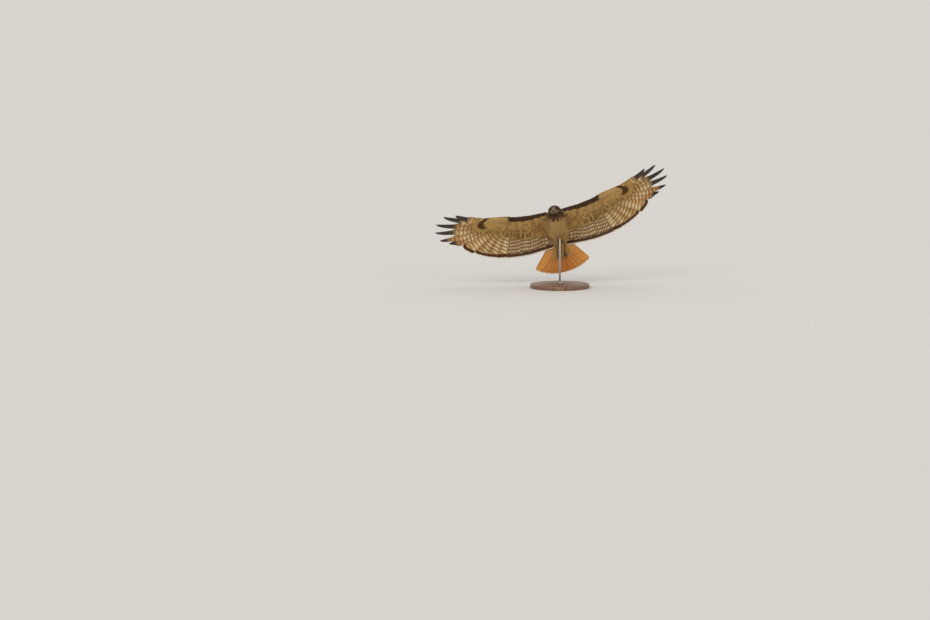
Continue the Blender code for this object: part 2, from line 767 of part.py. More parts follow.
def make_leg(side, label, paint):
    """One leg: the feathered leg, the bare foot with its toes, and four talons."""
    leg = leg_body(f"leg_{label}", side)
    carve(leg, [torso_cutter()])
    leg.data.materials.append(paint["body"])
    ankle = Vector((side * ANKLE[0], ANKLE[1], ANKLE[2]))
    end = Vector((side * TARSUS_END[0], TARSUS_END[1], TARSUS_END[2]))
    heel = ankle - (end - ankle).normalized() * 0.004
    spots = [heel.lerp(end, s) for s in (0.0, 0.12, 0.5, 0.9, 1.0)]
    sizes = [TARSUS_HALF * s for s in (1.15, 1.25, 1.0, 1.1, 1.35)]
    spots.append(end + (end - heel).normalized() * 0.004)
    sizes.append(TARSUS_HALF)
    foot = tapered_tube(f"foot_{label}", spots, sizes)
    toes = []
    talons = []
    for toe in TOES:
        toe_points, talon_points = toe_path(side, toe)
        widths = [TOE_HALF * s for s in (1.0, 1.05, 0.88, 1.0, 0.85, 0.95, 0.78)]
        toes.append(tapered_tube(f"toe_{toe[0]}", toe_points, widths))
        sharp = [TOE_HALF * s for s in (0.66, 0.58, 0.46, 0.33, 0.20, 0.07)]
        talons.append(tapered_tube(f"talon_{label}_{toe[0]}", talon_points, sharp, 1))
    fuse(foot, toes)
    carve(foot, [leg_body("shin", side, GAP), torso_cutter()])
    foot.data.materials.append(paint["foot"])
    for talon in talons:
        talon.data.materials.append(paint["talon"])
    return [leg, foot, *talons]


# Stand


def make_stand(attitude, paint):
    """A round base and one upright rod, whose top is shaped to the belly that it carries."""
    bpy.ops.mesh.primitive_cylinder_add(
        vertices=48, radius=BASE_RADIUS, depth=BASE_THICK, location=(0, 0, BASE_THICK / 2)
    )
    base = bpy.context.object
    base.name = "stand_base"
    bevel = base.modifiers.new("edge", "BEVEL")
    bevel.width = BASE_EDGE
    bevel.segments = 2
    bevel.limit_method = "ANGLE"
    base.data.materials.append(paint["base"])
    bottom = BASE_THICK + GAP
    top = SHOULDER_PLACE[2]
    bpy.ops.mesh.primitive_cylinder_add(
        vertices=16, radius=ROD_RADIUS, depth=top - bottom, location=(0, 0, 0.5 * (top + bottom))
    )
    rod = bpy.context.object
    rod.name = "stand_rod"
    bpy.ops.mesh.primitive_cylinder_add(
        vertices=24, radius=COLLAR_RADIUS, depth=COLLAR_HEIGHT, location=(0, 0, bottom + COLLAR_HEIGHT / 2)
    )
    collar = bpy.context.object
    collar.name = "collar"
    fuse(rod, [collar])
    belly = torso_cutter()
    belly.data.transform(attitude)
    carve(rod, [belly])
    rod.data.materials.append(paint["rod"])
    return [base, rod]


def main():
    """Builds the bird level, turns it with its empty, and sets the stand under it."""
    clear_scene()
    paint = {
        "body": material("body_plumage", (0.45, 0.30, 0.15), 0.8),
        "head": material("head_plumage", (0.14, 0.08, 0.04), 0.8),
        "wing": material("wing_plumage", (0.42, 0.30, 0.16), 0.75),
        "tail": material("tail_plumage", (0.55, 0.22, 0.08), 0.75),
        "bill": material("bill_horn", (0.06, 0.06, 0.07), 0.35),
        "eye": material("eye", (0.10, 0.03, 0.01), 0.08),
        "foot": material("foot_skin", (0.62, 0.48, 0.10), 0.55),
        "talon": material("talon_horn", (0.02, 0.02, 0.02), 0.3),
        "base": material("base_wood", (0.10, 0.05, 0.03), 0.4),
        "rod": material("rod_steel", (0.6, 0.6, 0.6), 0.3, 1.0),
    }
    bird = [*make_torso(paint), *make_head(paint)]
    for side, label in ((1, "left"), (-1, "right")):
        bird.append(make_wing(f"wing_{label}", side, paint))
        bird.extend(make_leg(side, label, paint))
    bird.append(make_tail(paint))
    attitude = Matrix.Translation(SHOULDER_PLACE) @ turned(PITCH_UP, BANK, YAW)
    mount = link(bpy.data.objects.new("bird_attitude", None))
    mount.matrix_world = attitude
    for obj in bird:
        obj.parent = mount
    stand = make_stand(attitude, paint)
    parts = bpy.data.collections.new("red_tailed_hawk")
    bpy.context.scene.collection.children.link(parts)
    for obj in (*bird, *stand):
        for holder in list(obj.users_collection):
            holder.objects.unlink(obj)
        parts.objects.link(obj)


main()
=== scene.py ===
"""Looks of a life-size red-tailed hawk that soars on a plain display stand.

Units are metres and +Z is up. The bird is made level in its own frame, +X to its left, -Y forward and
+Z up, from the sizes that the CAD solids have, and every finished mesh is then turned into its attitude
on the stand. Feathers, tufts and scutes are joined meshes from arrays over one skin.
"""

import logging
import math
from dataclasses import dataclass, field
from enum import Enum
from functools import partial
from typing import Callable

import bpy
import numpy as np
from mathutils import Matrix, Vector
from mathutils.bvhtree import BVHTree


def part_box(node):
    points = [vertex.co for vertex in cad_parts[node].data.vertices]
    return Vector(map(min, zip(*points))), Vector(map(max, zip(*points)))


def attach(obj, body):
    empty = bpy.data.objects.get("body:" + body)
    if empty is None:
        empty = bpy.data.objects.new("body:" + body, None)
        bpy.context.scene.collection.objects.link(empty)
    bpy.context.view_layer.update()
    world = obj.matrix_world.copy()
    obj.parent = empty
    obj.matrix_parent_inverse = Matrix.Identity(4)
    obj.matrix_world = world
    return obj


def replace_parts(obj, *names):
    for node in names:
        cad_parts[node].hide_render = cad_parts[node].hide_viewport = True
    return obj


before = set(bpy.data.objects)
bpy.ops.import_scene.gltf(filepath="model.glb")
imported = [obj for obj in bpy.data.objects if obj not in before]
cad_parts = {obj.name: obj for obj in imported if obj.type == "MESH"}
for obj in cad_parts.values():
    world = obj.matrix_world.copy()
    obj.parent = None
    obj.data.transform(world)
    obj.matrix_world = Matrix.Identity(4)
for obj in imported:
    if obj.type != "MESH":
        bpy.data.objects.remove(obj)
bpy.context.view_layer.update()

logging.basicConfig(level=logging.INFO, format="%(message)s")
LOG = logging.getLogger("hawk")

Array, Piece, Paint = np.ndarray, bpy.types.Object, bpy.types.Material

# Attitude on the stand, in degrees, and the place of the shoulder line's middle above the floor
PITCH_UP, BANK, YAW = 53.0, 19.6, 9.4
SHOULDER_PLACE = (-0.023, -0.013, 0.365)

# Head about the middle of the skull, in the bird's frame, in metres and degrees
HEAD_AT = (-0.002, -0.050, -0.020)
HEAD_UP, HEAD_BANK, HEAD_TURN = 6.0, 4.0, -8.0
HEAD_HALF = (0.0345, 0.0390, 0.0320)
EYE_AT = (0.0206, -0.0185, 0.0050)
EYE_RADIUS = 0.0082
EYE_FORWARD = 38.0

# Body, as stations of (y, centre z, half width, half height)
BODY_STATIONS = np.array(
    [
        (-0.062, -0.032, 0.016, 0.016), (-0.050, -0.029, 0.030, 0.031), (-0.034, -0.024, 0.040, 0.042),
        (-0.012, -0.018, 0.050, 0.051), (0.014, -0.014, 0.058, 0.057), (0.044, -0.013, 0.063, 0.060),
        (0.078, -0.013, 0.062, 0.057), (0.110, -0.011, 0.056, 0.049), (0.142, -0.007, 0.047, 0.038),
        (0.175, -0.004, 0.038, 0.026), (0.205, -0.005, 0.028, 0.015), (0.226, -0.007, 0.014, 0.006),
    ]
)

# Wing plan, as (out from the midline, back from the shoulder line)
SHOULDER, ELBOW, WRIST, HAND_TIP = (0.040, 0.000), (0.125, 0.045), (0.250, -0.014), (0.356, -0.042)
ARM_OUTS = (SHOULDER[0], ELBOW[0], WRIST[0], HAND_TIP[0])
LEADING_EDGE = (
    (0.020, -0.016), (0.060, -0.015), (0.130, -0.016), (0.200, -0.024),
    (0.260, -0.040), (0.330, -0.052), (0.385, -0.058),
)
TRAILING_EDGE = ((0.036, 0.196), (0.088, 0.204), (0.185, 0.213), (0.275, 0.208), (0.330, 0.196))
PRIMARY_TIPS = (
    (0.321, 0.200), (0.372, 0.184), (0.424, 0.158), (0.482, 0.122), (0.552, 0.082),
    (0.594, 0.063), (0.609, 0.010), (0.598, -0.045), (0.554, -0.098), (0.494, -0.104),
)
TERTIALS, SECONDARIES, PRIMARIES = 4, 13, 10

# Legs, tucked back under the tail
THIGH_TOP, ANKLE = (0.034, 0.060, -0.040), (0.023, 0.145, -0.052)
TARSUS_END = (0.019, 0.205, -0.041)
THIGH_HALF, TARSUS_HALF, TOE_HALF = 0.024, 0.0046, 0.0042

# Tail
TAIL_ROOT = (0.0, 0.150, 0.002)
TAIL_DROP = 6.3


class Side(Enum):
    """The bird's own left and right."""

    LEFT = 1
    RIGHT = -1

    @property
    def label(self) -> str:
        """The side's name in piece names."""
        return self.name.lower()


class Face(Enum):
    """The two surfaces of a wing or tail."""

    ABOVE = 1
    BELOW = -1


class Tract(Enum):
    """The feather tracts of the body coat."""

    HEAD = "head"
    NECK = "neck"
    TORSO = "torso"
    LEG = "legs"


# Small tools


def linear(code: str) -> tuple[float, float, float]:
    """Turns an sRGB hex value to linear colour.

    Args:
        code: Six hex digits.

    Returns:
        Red, green and blue from 0 to 1.
    """
    found = []
    for k in (0, 2, 4):
        value = int(code[k : k + 2], 16) / 255
        found.append(value / 12.92 if value <= 0.04045 else ((value + 0.055) / 1.055) ** 2.4)
    return tuple(found)


def step(low: float, high: float, value: Array) -> Array:
    """A smooth rise from 0 at low to 1 at high.

    Args:
        low: Where the rise starts; above high, the step falls instead.
        high: Where it ends.
        value: The numbers to map.

    Returns:
        Numbers from 0 to 1.
    """
    share = np.clip((value - low) / (high - low), 0, 1)
    return share * share * (3 - 2 * share)


def toned(colour: Array | str) -> Array:
    """Linear colour of a hex value; arrays of colours are passed on."""
    return np.array(linear(colour)) if isinstance(colour, str) else colour


def mixed(low: Array | str, high: Array | str, share: Array) -> Array:
    """Colours part of the way from one to another.

    Args:
        low: Colours at share 0, or one hex value.
        high: Colours at share 1, or one hex value.
        share: One number for each colour.

    Returns:
        The mixed colours.
    """
    weight = np.asarray(share)[..., None]
    return toned(low) * (1 - weight) + toned(high) * weight


def painted(colour: Array | str, alpha: Array | float) -> Array:
    """Colours with their fourth channel.

    Args:
        colour: Colours, or one hex value.
        alpha: The fourth channel, one number for all or for each.

    Returns:
        The colours with four channels.
    """
    colour = toned(colour)
    shape = np.broadcast_shapes(colour.shape[:-1], np.shape(alpha))
    whole = np.broadcast_to(colour, (*shape, 3))
    return np.concatenate([whole, np.broadcast_to(alpha, shape)[..., None]], -1)


def grey(values: Array) -> Array:
    """Grey colours from the tint's strengths."""
    return painted(np.repeat(values[..., None], 3, -1), 1.0)


def stacked(*values: Array | float) -> Array:
    """Arrays and numbers of like shape, stacked on a new last axis."""
    return np.stack(np.broadcast_arrays(*values), -1)


def each(values: Array, like: Array) -> Array:
    """One value for each body, spread over all of its points."""
    return np.broadcast_to(values[:, None, None], like.shape)


def turned(about_x: float, about_y: float, about_z: float) -> Matrix:
    """The rotation that yaws first, then pitches the nose up, then banks.

    Args:
        about_x: Pitch in degrees.
        about_y: Bank in degrees.
        about_z: Yaw in degrees.

    Returns:
        The 4x4 rotation.
    """
    pitch = Matrix.Rotation(-math.radians(about_x), 4, "X")
    bank = Matrix.Rotation(-math.radians(about_y), 4, "Y")
    return bank @ pitch @ Matrix.Rotation(math.radians(about_z), 4, "Z")


BODY_TURN = turned(PITCH_UP, BANK, YAW)
ATTITUDE = Matrix.Translation(SHOULDER_PLACE) @ BODY_TURN
HEAD = Matrix.Translation(HEAD_AT) @ BODY_TURN.inverted() @ turned(HEAD_UP, HEAD_BANK, HEAD_TURN)


def moved(matrix: Matrix, points: Array) -> Array:
    """Points after a transform.

    Args:
        matrix: A 4x4 transform.
        points: An array whose last axis is x, y, z.

    Returns:
        The moved points.
    """
    array = np.array(matrix)
    return points @ array[:3, :3].T + array[:3, 3]


def unit(vectors: Array) -> Array:
    """Vectors at length 1."""
    return vectors / np.maximum(np.linalg.norm(vectors, axis=-1, keepdims=True), 1e-12)


def smooth_curve(points: tuple, steps: int) -> Array:
    """Points of a Catmull-Rom curve through the given ones.

    Args:
        points: The points to pass.
        steps: How many points each stretch gets.

    Returns:
        One row for each point.
    """
    path = [np.array(p, float) for p in points]
    path = [2 * path[0] - path[1], *path, 2 * path[-1] - path[-2]]
    found = []
    for a, b, c, d in zip(path, path[1:], path[2:], path[3:]):
        for t in np.arange(steps) / steps:
            curve = 2 * b + (c - a) * t + (2 * a - 5 * b + 4 * c - d) * t**2
            found.append(0.5 * (curve + (3 * b - a - 3 * c + d) * t**3))
    return np.array([*found, path[-2]])


def length_run(path: Array) -> Array:
    """The arc length from a path's start to each of its points."""
    return np.concatenate([[0.0], np.cumsum(np.linalg.norm(np.diff(path, axis=0), axis=1))])


def along_curve(path: Array, lengths: Array) -> Array:
    """Points of a path at arc lengths from its start.

    Args:
        path: The path's points.
        lengths: Distances from its start.

    Returns:
        One row for each length.
    """
    return stacked(*(np.interp(lengths, length_run(path), column) for column in path.T))


def front_of(out: Array) -> Array:
    """How far back the wing's front edge lies, by the distance out."""
    return np.interp(out, *np.array(LEADING_EDGE).T)


def arm_line(out: Array) -> Array:
    """How far back the arm's and the hand's bones lie, by the distance out."""
    return np.interp(out, *np.array((SHOULDER, ELBOW, WRIST, HAND_TIP)).T)


def body_at(y: Array) -> tuple[Array, Array, Array]:
    """The body's centre height, half width and half height, by the distance back."""
    return tuple(np.interp(y, BODY_STATIONS[:, 0], BODY_STATIONS[:, k]) for k in (1, 2, 3))


def on_side(point: Array | tuple, side: Side) -> Array:
    """A point given for the left, on one side of the bird."""
    return np.array(point) * (side.value, 1, 1)


def head_local(points: Array) -> Array:
    """Points of the bird's frame in the head's own frame."""
    return moved(HEAD.inverted(), points)


def only(obj: Piece) -> Piece:
    """Selects one object alone and makes it the active one.

    Args:
        obj: The object.

    Returns:
        The same object.
    """
    bpy.ops.object.select_all(action="DESELECT")
    obj.select_set(True)
    bpy.context.view_layer.objects.active = obj
    return obj


def points_of(obj: Piece) -> Array:
    """The vertices of a mesh object as an array.

    Args:
        obj: The object.

    Returns:
        One row of three for each vertex.
    """
    found = np.zeros(len(obj.data.vertices) * 3)
    obj.data.vertices.foreach_get("co", found)
    return found.reshape(-1, 3)


def set_points(obj: Piece, points: Array) -> None:
    """Writes new vertex places to a mesh object."""
    obj.data.vertices.foreach_set("co", points.ravel())
    obj.data.update()


def add_attribute(data: bpy.types.Mesh, key: str, kind: str, role: str, values: Array) -> None:
    """Adds an attribute on the points of a mesh.

    Args:
        data: The mesh.
        key: The attribute's name.
        kind: Blender's name for its type.
        role: What Blender calls one value of this type.
        values: The values, for all points in order.
    """
    layer = data.attributes.new(key, kind, "POINT")
    layer.data.foreach_set(role, np.ascontiguousarray(values, np.float32).ravel())


def primitive(operator: Callable, **sizes: object) -> Piece:
    """Adds a primitive with nothing else selected.

    Args:
        operator: Blender's operator that adds it.
        sizes: What the operator is given.

    Returns:
        The added object.
    """
    bpy.ops.object.select_all(action="DESELECT")
    operator(**sizes)
    return bpy.context.object


def apply_modifier(obj: Piece, kind: str, **settings: object) -> None:
    """Adds a modifier to an object and applies it.

    Args:
        obj: The object.
        kind: Blender's name for the modifier type.
        settings: The modifier's properties.
    """
    only(obj)
    modifier = obj.modifiers.new(kind.lower(), kind)
    for key, value in settings.items():
        setattr(modifier, key, value)
    bpy.ops.object.modifier_apply(modifier=modifier.name)


def dress(
    obj: Piece, name: str, paint: Paint, smooth: float = 40.0
) -> Piece:
    """Names a piece, gives it its finish, shades it smooth by angle, and sets it on the row's body.

    Args:
        obj: The piece, with its place in its mesh.
        name: Its name.
        paint: Its material.
        smooth: Edges flatter than this many degrees are shaded smooth.

    Returns:
        The piece.
    """
    obj.name = name
    obj.data.name = name
    obj.data.materials.clear()
    obj.data.materials.append(paint)
    only(obj)
    bpy.ops.object.shade_smooth_by_angle(angle=math.radians(smooth))
    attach(obj, "root")
    LOG.info("%s: %d faces", name, len(obj.data.polygons))
    return obj


@dataclass
class Rings:
    """The faces of closed bodies that are each made of equal rings, and how each unrolls on its patch."""

    rows: int
    columns: int

    def quads(self) -> Array:
        """The side and end faces of one body, as rows of four vertex numbers.

        Returns:
            The rows.
        """
        row, column = np.meshgrid(np.arange(self.rows - 1), np.arange(self.columns), indexing="ij")
        ahead = (column + 1) % self.columns
        low, high = row * self.columns, (row + 1) * self.columns
        sides = stacked(low + column, low + ahead, high + ahead, high + column).reshape(-1, 4)
        k = np.arange(self.columns // 2 - 1)
        cap = stacked(k, k + 1, self.columns - 2 - k, self.columns - 1 - k)
        return np.concatenate([sides, cap[:, [0, 3, 2, 1]], cap + (self.rows - 1) * self.columns])

    def corners(self) -> Array:
        """Where each corner of each face lies on the unit patch that the body unrolls to.

        Returns:
            Places from 0 to 1, for each face and corner.
        """
        row, column = np.meshgrid(np.arange(self.rows - 1), np.arange(self.columns), indexing="ij")
        u = stacked(column, column + 1, column + 1, column).reshape(-1, 4) / self.columns
        v = stacked(row, row, row + 1, row + 1).reshape(-1, 4) / (self.rows - 1)
        ends = self.columns - 2
        u = np.concatenate([u, np.full((ends, 4), 0.5)])
        v = np.concatenate([v, np.repeat([[0.0] * 4, [1.0] * 4], ends // 2, axis=0)])
        return stacked(u, v)


@dataclass
class Bodies:
    """Many closed bodies of equal rings, as arrays of (body, row, column, ...)."""

    points: Array
    colours: dict[str, Array] = field(default_factory=dict)
    vectors: dict[str, Array] = field(default_factory=dict)
    patch_at: Array | None = None
    patch_size: Array | float = 0.003

    def grid_patches(self) -> None:
        """Gives each body, with markings of its own, its own cell of a square grid as its patch."""
        count = len(self.points)
        across = math.ceil(math.sqrt(count))
        cell = 1 / across
        k = np.arange(count)
        self.patch_at = stacked((k % across + 0.04) * cell, (k // across + 0.04) * cell)
        self.patch_size = 0.92 * cell

    def make(self, name: str, paint: Paint, slot: str, smooth: float = 40.0) -> Piece:
        """Joins the bodies in one mesh, turned into the bird's attitude.

        Args:
            name: The piece's name.
            paint: Its material.
            slot: Not used.
            smooth: Edges flatter than this many degrees are shaded smooth.

        Returns:
            The piece.
        """
        shape = self.points.shape[:3]
        count, rows, columns = shape
        rings = Rings(rows, columns)
        template = rings.quads()
        quads = (template[None] + (np.arange(count) * rows * columns)[:, None, None]).reshape(-1, 4)
        points = moved(ATTITUDE, self.points).reshape(-1, 3)
        sample = points[quads] - points.mean(0)
        turn = np.cross(sample[:, 2] - sample[:, 0], sample[:, 3] - sample[:, 1])
        inside_out = np.einsum("ij,ij->", sample.mean(1), turn) < 0
        order = [0, 3, 2, 1] if inside_out else [0, 1, 2, 3]
        quads = quads[:, order]
        data = bpy.data.meshes.new(name)
        data.vertices.add(len(points))
        data.vertices.foreach_set("co", points.astype(np.float32).ravel())
        data.loops.add(quads.size)
        data.loops.foreach_set("vertex_index", quads.astype(np.int32).ravel())
        data.polygons.add(len(quads))
        data.polygons.foreach_set("loop_start", np.arange(0, quads.size, 4, dtype=np.int32))
        data.update(calc_edges=True)
        for key, values in self.colours.items():
            add_attribute(data, key, "FLOAT_COLOR", "color", np.broadcast_to(values, (*shape, 4)))
        for key, values in self.vectors.items():
            add_attribute(data, key, "FLOAT_VECTOR", "vector", np.broadcast_to(values, (*shape, 3)))
        if self.patch_at is not None:
            corners = rings.corners()[:, order]
            size = np.broadcast_to(self.patch_size, (count,))
            spots = self.patch_at[:, None, None] + corners[None] * size[:, None, None, None]
            data.uv_layers.new(name="OFBake").data.foreach_set("uv", spots.astype(np.float32).ravel())
        obj = bpy.data.objects.new(name, data)
        bpy.context.scene.collection.objects.link(obj)
        return dress(obj, name, paint, smooth)


def plug_in(tree: bpy.types.NodeTree, node: bpy.types.Node, inputs: dict | tuple) -> None:
    """Gives inputs of a node their values and links.

    Args:
        tree: The node tree.
        node: The node.
        inputs: Values, hex colours, sockets or nodes, by name or in the order of the inputs.
    """
    for key, value in inputs.items() if isinstance(inputs, dict) else enumerate(inputs):
        if isinstance(value, bpy.types.Node):
            value = value.outputs[0]
        if isinstance(value, bpy.types.NodeSocket):
            tree.links.new(value, node.inputs[key])
        else:
            node.inputs[key].default_value = (*linear(value), 1.0) if isinstance(value, str) else value


def add_node(
    tree: bpy.types.NodeTree, kind: str, inputs: dict | tuple = (), stops: tuple = (), **settings: object
) -> bpy.types.Node:
    """Adds a shader node with its settings and links.

    Args:
        tree: The node tree.
        kind: The node's type, without its prefix.
        inputs: Values, hex colours, sockets or nodes, by name or in the order of the inputs.
        stops: The places and hex colours of a ramp.
        settings: Properties to set.

    Returns:
        The node.
    """
    node = tree.nodes.new("ShaderNode" + kind)
    for key, value in settings.items():
        setattr(node, key, value)
    for _ in stops[2:]:
        node.color_ramp.elements.new(0.5)
    for number, (place, colour) in enumerate(stops):
        node.color_ramp.elements[number].position = place
        node.color_ramp.elements[number].color = (*linear(colour), 1.0)
    plug_in(tree, node, inputs)
    return node


def principled(name: str, sockets: dict) -> tuple[Paint, Callable, Callable]:
    """A new material with one Principled shader.

    Args:
        name: The material's name.
        sockets: The shader's constant inputs.

    Returns:
        The material, what adds a node to it, and what plugs nodes into its shader.
    """
    made = bpy.data.materials.new(name)
    made.use_nodes = True
    tree = made.node_tree
    shader = tree.nodes["Principled BSDF"]
    plug_in(tree, shader, sockets)
    return made, partial(add_node, tree), partial(plug_in, tree, shader)


# Finishes


@dataclass(frozen=True)
class PlumageFinish:
    """Feather keratin: matt, barbed on the slant, with the markings that the mesh carries.

    The mesh gives tint and shade, with the fringe's and the dark end's strength as their alphas, lie, which
    is the distance from the tip and from the shaft in mm and the share across the web, and marks, which is
    the strength of the bars, the width of the dark end band in mm, which is far below 0 where there is none,
    and the strength of the shaft streak, or how far the feather's own bars are staggered.
    """

    name: str
    bar_spacing_mm: float = 15.0
    barb_mm: float = 1.5
    shaft: float = 0.0
    edge: float = 0.5
    fringe_mm: float = 2.0
    stagger_mm: float = 0.0
    streak: float = 1.0
    roughness: float = 0.62
    fringe_colour: str = "C9B08A"

    def make(self) -> Paint:
        """Builds the material.

        Returns:
            The material.
        """
        # The gaps between the barbs swallow much of the gloss that solid keratin would have
        made, add, plug = principled(
            self.name, {"Roughness": self.roughness, "IOR": 1.54, "Specular IOR Level": 0.14}
        )
        lie = add("SeparateXYZ", (add("Attribute", attribute_name="lie").outputs[1],))
        marks = add("SeparateXYZ", (add("Attribute", attribute_name="marks").outputs[1],))
        tint = add("Attribute", attribute_name="tint")
        shade = add("Attribute", attribute_name="shade")
        place = add("TexCoord").outputs["Object"]
        from_shaft = add("Math", (lie.outputs[1],), operation="ABSOLUTE")
        slant = add("Math", (from_shaft, 0.25, lie.outputs[0]), operation="MULTIPLY_ADD")
        # Bars waver by about 4 mm, as each feather's own do
        waver = add("TexNoise", {"Vector": place, "Scale": 55.0, "Detail": 2.0})
        run = add("Math", (waver, 6.0, slant), operation="MULTIPLY_ADD")
        run = add("Math", (marks.outputs[2], self.stagger_mm, run), operation="MULTIPLY_ADD")
        phase = add("Math", (run, math.tau / self.bar_spacing_mm), operation="MULTIPLY")
        wave = add("Math", (phase,), operation="SINE")
        bars = add("MapRange", (wave, -0.1, 0.5, 0.0, 1.0), interpolation_type="SMOOTHSTEP")
        bars = add("Math", (bars, marks.outputs[0]), operation="MULTIPLY")
        # The end band and the fringe follow the round of the tip
        rim = add("Math", (from_shaft, -0.3, lie.outputs[0]), operation="MULTIPLY_ADD")
        depth = add("Math", (marks.outputs[1], rim), operation="SUBTRACT")
        depth = add("Math", (waver, -6.0, depth), operation="MULTIPLY_ADD")
        band = add("MapRange", (depth, -5.0, -1.0, 0.0, 1.0))
        share = add("Math", (lie.outputs[2],), operation="ABSOLUTE")
        streak = add("MapRange", (share, 0.42, 0.1, 0.0, self.streak))
        streak = add("Math", (streak, marks.outputs[2]), operation="MULTIPLY")
        dark = add("Math", (bars, band), operation="MAXIMUM")
        dark = add("Math", (dark, streak), operation="MAXIMUM")
        dark = add("Math", (dark, shade.outputs["Alpha"]), operation="MAXIMUM")
        colour = add("MixRGB", (dark, tint.outputs["Color"], shade.outputs["Color"]))
        # Worn pale fringe at the tip and along the last fifth of the web
        tip = add("MapRange", (rim, self.fringe_mm + 0.8, self.fringe_mm - 0.8, 0.0, 1.0))
        edge = add("MapRange", (share, 0.8, 0.98, 0.0, self.edge))
        fringe = add("Math", (tip, edge), operation="MAXIMUM")
        fringe = add("Math", (fringe, tint.outputs["Alpha"]), operation="MULTIPLY")
        colour = add("MixRGB", (fringe, colour, self.fringe_colour))
        rib = add("MapRange", (from_shaft, 1.1, 0.6, 0.0, self.shaft))
        # Real barbs lie 0.3 mm apart, which is too fine to show, so these are drawn coarser
        barb = add("Math", (from_shaft, 1.3, lie.outputs[0]), operation="MULTIPLY_ADD")
        barb = add("Math", (barb, math.tau / self.barb_mm), operation="MULTIPLY")
        barb = add("Math", (barb,), operation="SINE")
        mottle = add("TexNoise", {"Vector": place, "Scale": 130.0, "Detail": 3.0})
        value = add("MapRange", (mottle, 0.3, 0.7, 0.86, 1.12))
        value = add("Math", (barb, 0.03, value), operation="MULTIPLY_ADD")
        value = add("Math", (rib, 0.45, value), operation="MULTIPLY_ADD")
        tone = add("HueSaturation", {"Value": value, "Color": colour})
        height = add("Math", (rib, 1.5, barb), operation="MULTIPLY_ADD")
        bump = add("Bump", {"Strength": 0.22, "Distance": 0.0004, "Height": height})
        plug({"Base Color": tone, "Normal": bump})
        return made


@dataclass(frozen=True)
class BareSkinFinish:
    """Living bare skin and scale horn of cere, gape and feet: waxy, finely pebbled, a little see-into."""

    name: str
    colour: str
    dark: str
    grain_mm: float = 0.9
    roughness: float = 0.42

    def make(self) -> Paint:
        """Builds the material.

        Returns:
            The material.
        """
        made, add, plug = principled(
            self.name,
            {
                "Roughness": self.roughness, "IOR": 1.45, "Subsurface Weight": 0.12,
                "Subsurface Scale": 0.002, "Subsurface Radius": (1.0, 0.45, 0.2),
            },
        )
        place = add("TexCoord").outputs["Object"]
        tint = add("Attribute", attribute_name="tint")
        cells = add("TexVoronoi", {"Vector": place, "Scale": 1000 / self.grain_mm})
        blotch = add("TexNoise", {"Vector": place, "Scale": 260.0, "Detail": 4.0})
        crease = add("MapRange", (cells, 0.45, 0.8, 0.0, 0.35))
        share = add("MapRange", (blotch, 0.45, 0.75, 0.0, 0.45))
        share = add("Math", (share, crease), operation="ADD")
        share = add("Math", (share, tint.outputs["Fac"]), operation="MAXIMUM")
        colour = add("MixRGB", (share, self.colour, self.dark))
        bump = add("Bump", {"Strength": 0.5, "Distance": 0.0003, "Height": cells}, invert=True)
        plug({"Base Color": colour, "Normal": bump})
        return made


@dataclass(frozen=True)
class HornFinish:
    """Bill and talon keratin: smooth, dark, with growth streaks and a soft polish."""

    name: str
    root: str
    tip: str
    roughness: float = 0.3

    def make(self) -> Paint:
        """Builds the material, pale at the root where the mesh's tint is 0 and dark at 1.

        Returns:
            The material.
        """
        made, add, plug = principled(
            self.name, {"IOR": 1.55, "Coat Weight": 0.25, "Coat Roughness": 0.2, "Roughness": self.roughness}
        )
        place = add("TexCoord").outputs["Object"]
        tint = add("Attribute", attribute_name="tint")
        layers = add("TexNoise", {"Vector": place, "Scale": 420.0, "Detail": 5.0})
        share = add("MapRange", (layers, 0.3, 0.7, -0.14, 0.14))
        share = add("Math", (tint.outputs["Fac"], share), operation="ADD")
        colour = add("ValToRGB", (share,), stops=((0.0, self.root), (0.85, self.tip)))
        bump = add("Bump", {"Strength": 0.25, "Distance": 0.0002, "Height": layers})
        plug({"Base Color": colour, "Normal": bump})
        return made


@dataclass(frozen=True)
class EyeFinish:
    """A wet eye: black pupil, red-brown iris with fine spokes and a dark rim, under a clear cornea."""

    name: str = "wet_eye"

    def make(self) -> Paint:
        """Builds the material; the mesh's lie gives the angle from the eye's axis and the angle round it.

        Returns:
            The material.
        """
        made, add, plug = principled(
            self.name,
            {"Roughness": 0.25, "IOR": 1.38, "Coat Weight": 1.0, "Coat Roughness": 0.02, "Coat IOR": 1.38},
        )
        lie = add("SeparateXYZ", (add("Attribute", attribute_name="lie").outputs[1],))
        spokes = add("TexNoise", {"W": lie.outputs[1], "Scale": 9.0}, noise_dimensions="1D")
        shift = add("MapRange", (spokes, 0.3, 0.7, -0.05, 0.05))
        share = add("Math", (lie.outputs[0], shift), operation="ADD")
        stops = (
            (0.0, "050403"), (0.36, "060403"), (0.40, "2E1408"), (0.55, "6E3A17"),
            (0.74, "52270E"), (0.80, "100804"), (1.0, "0A0604"),
        )
        colour = add("ValToRGB", (share,), stops=stops)
        plug({"Base Color": colour})
        return made


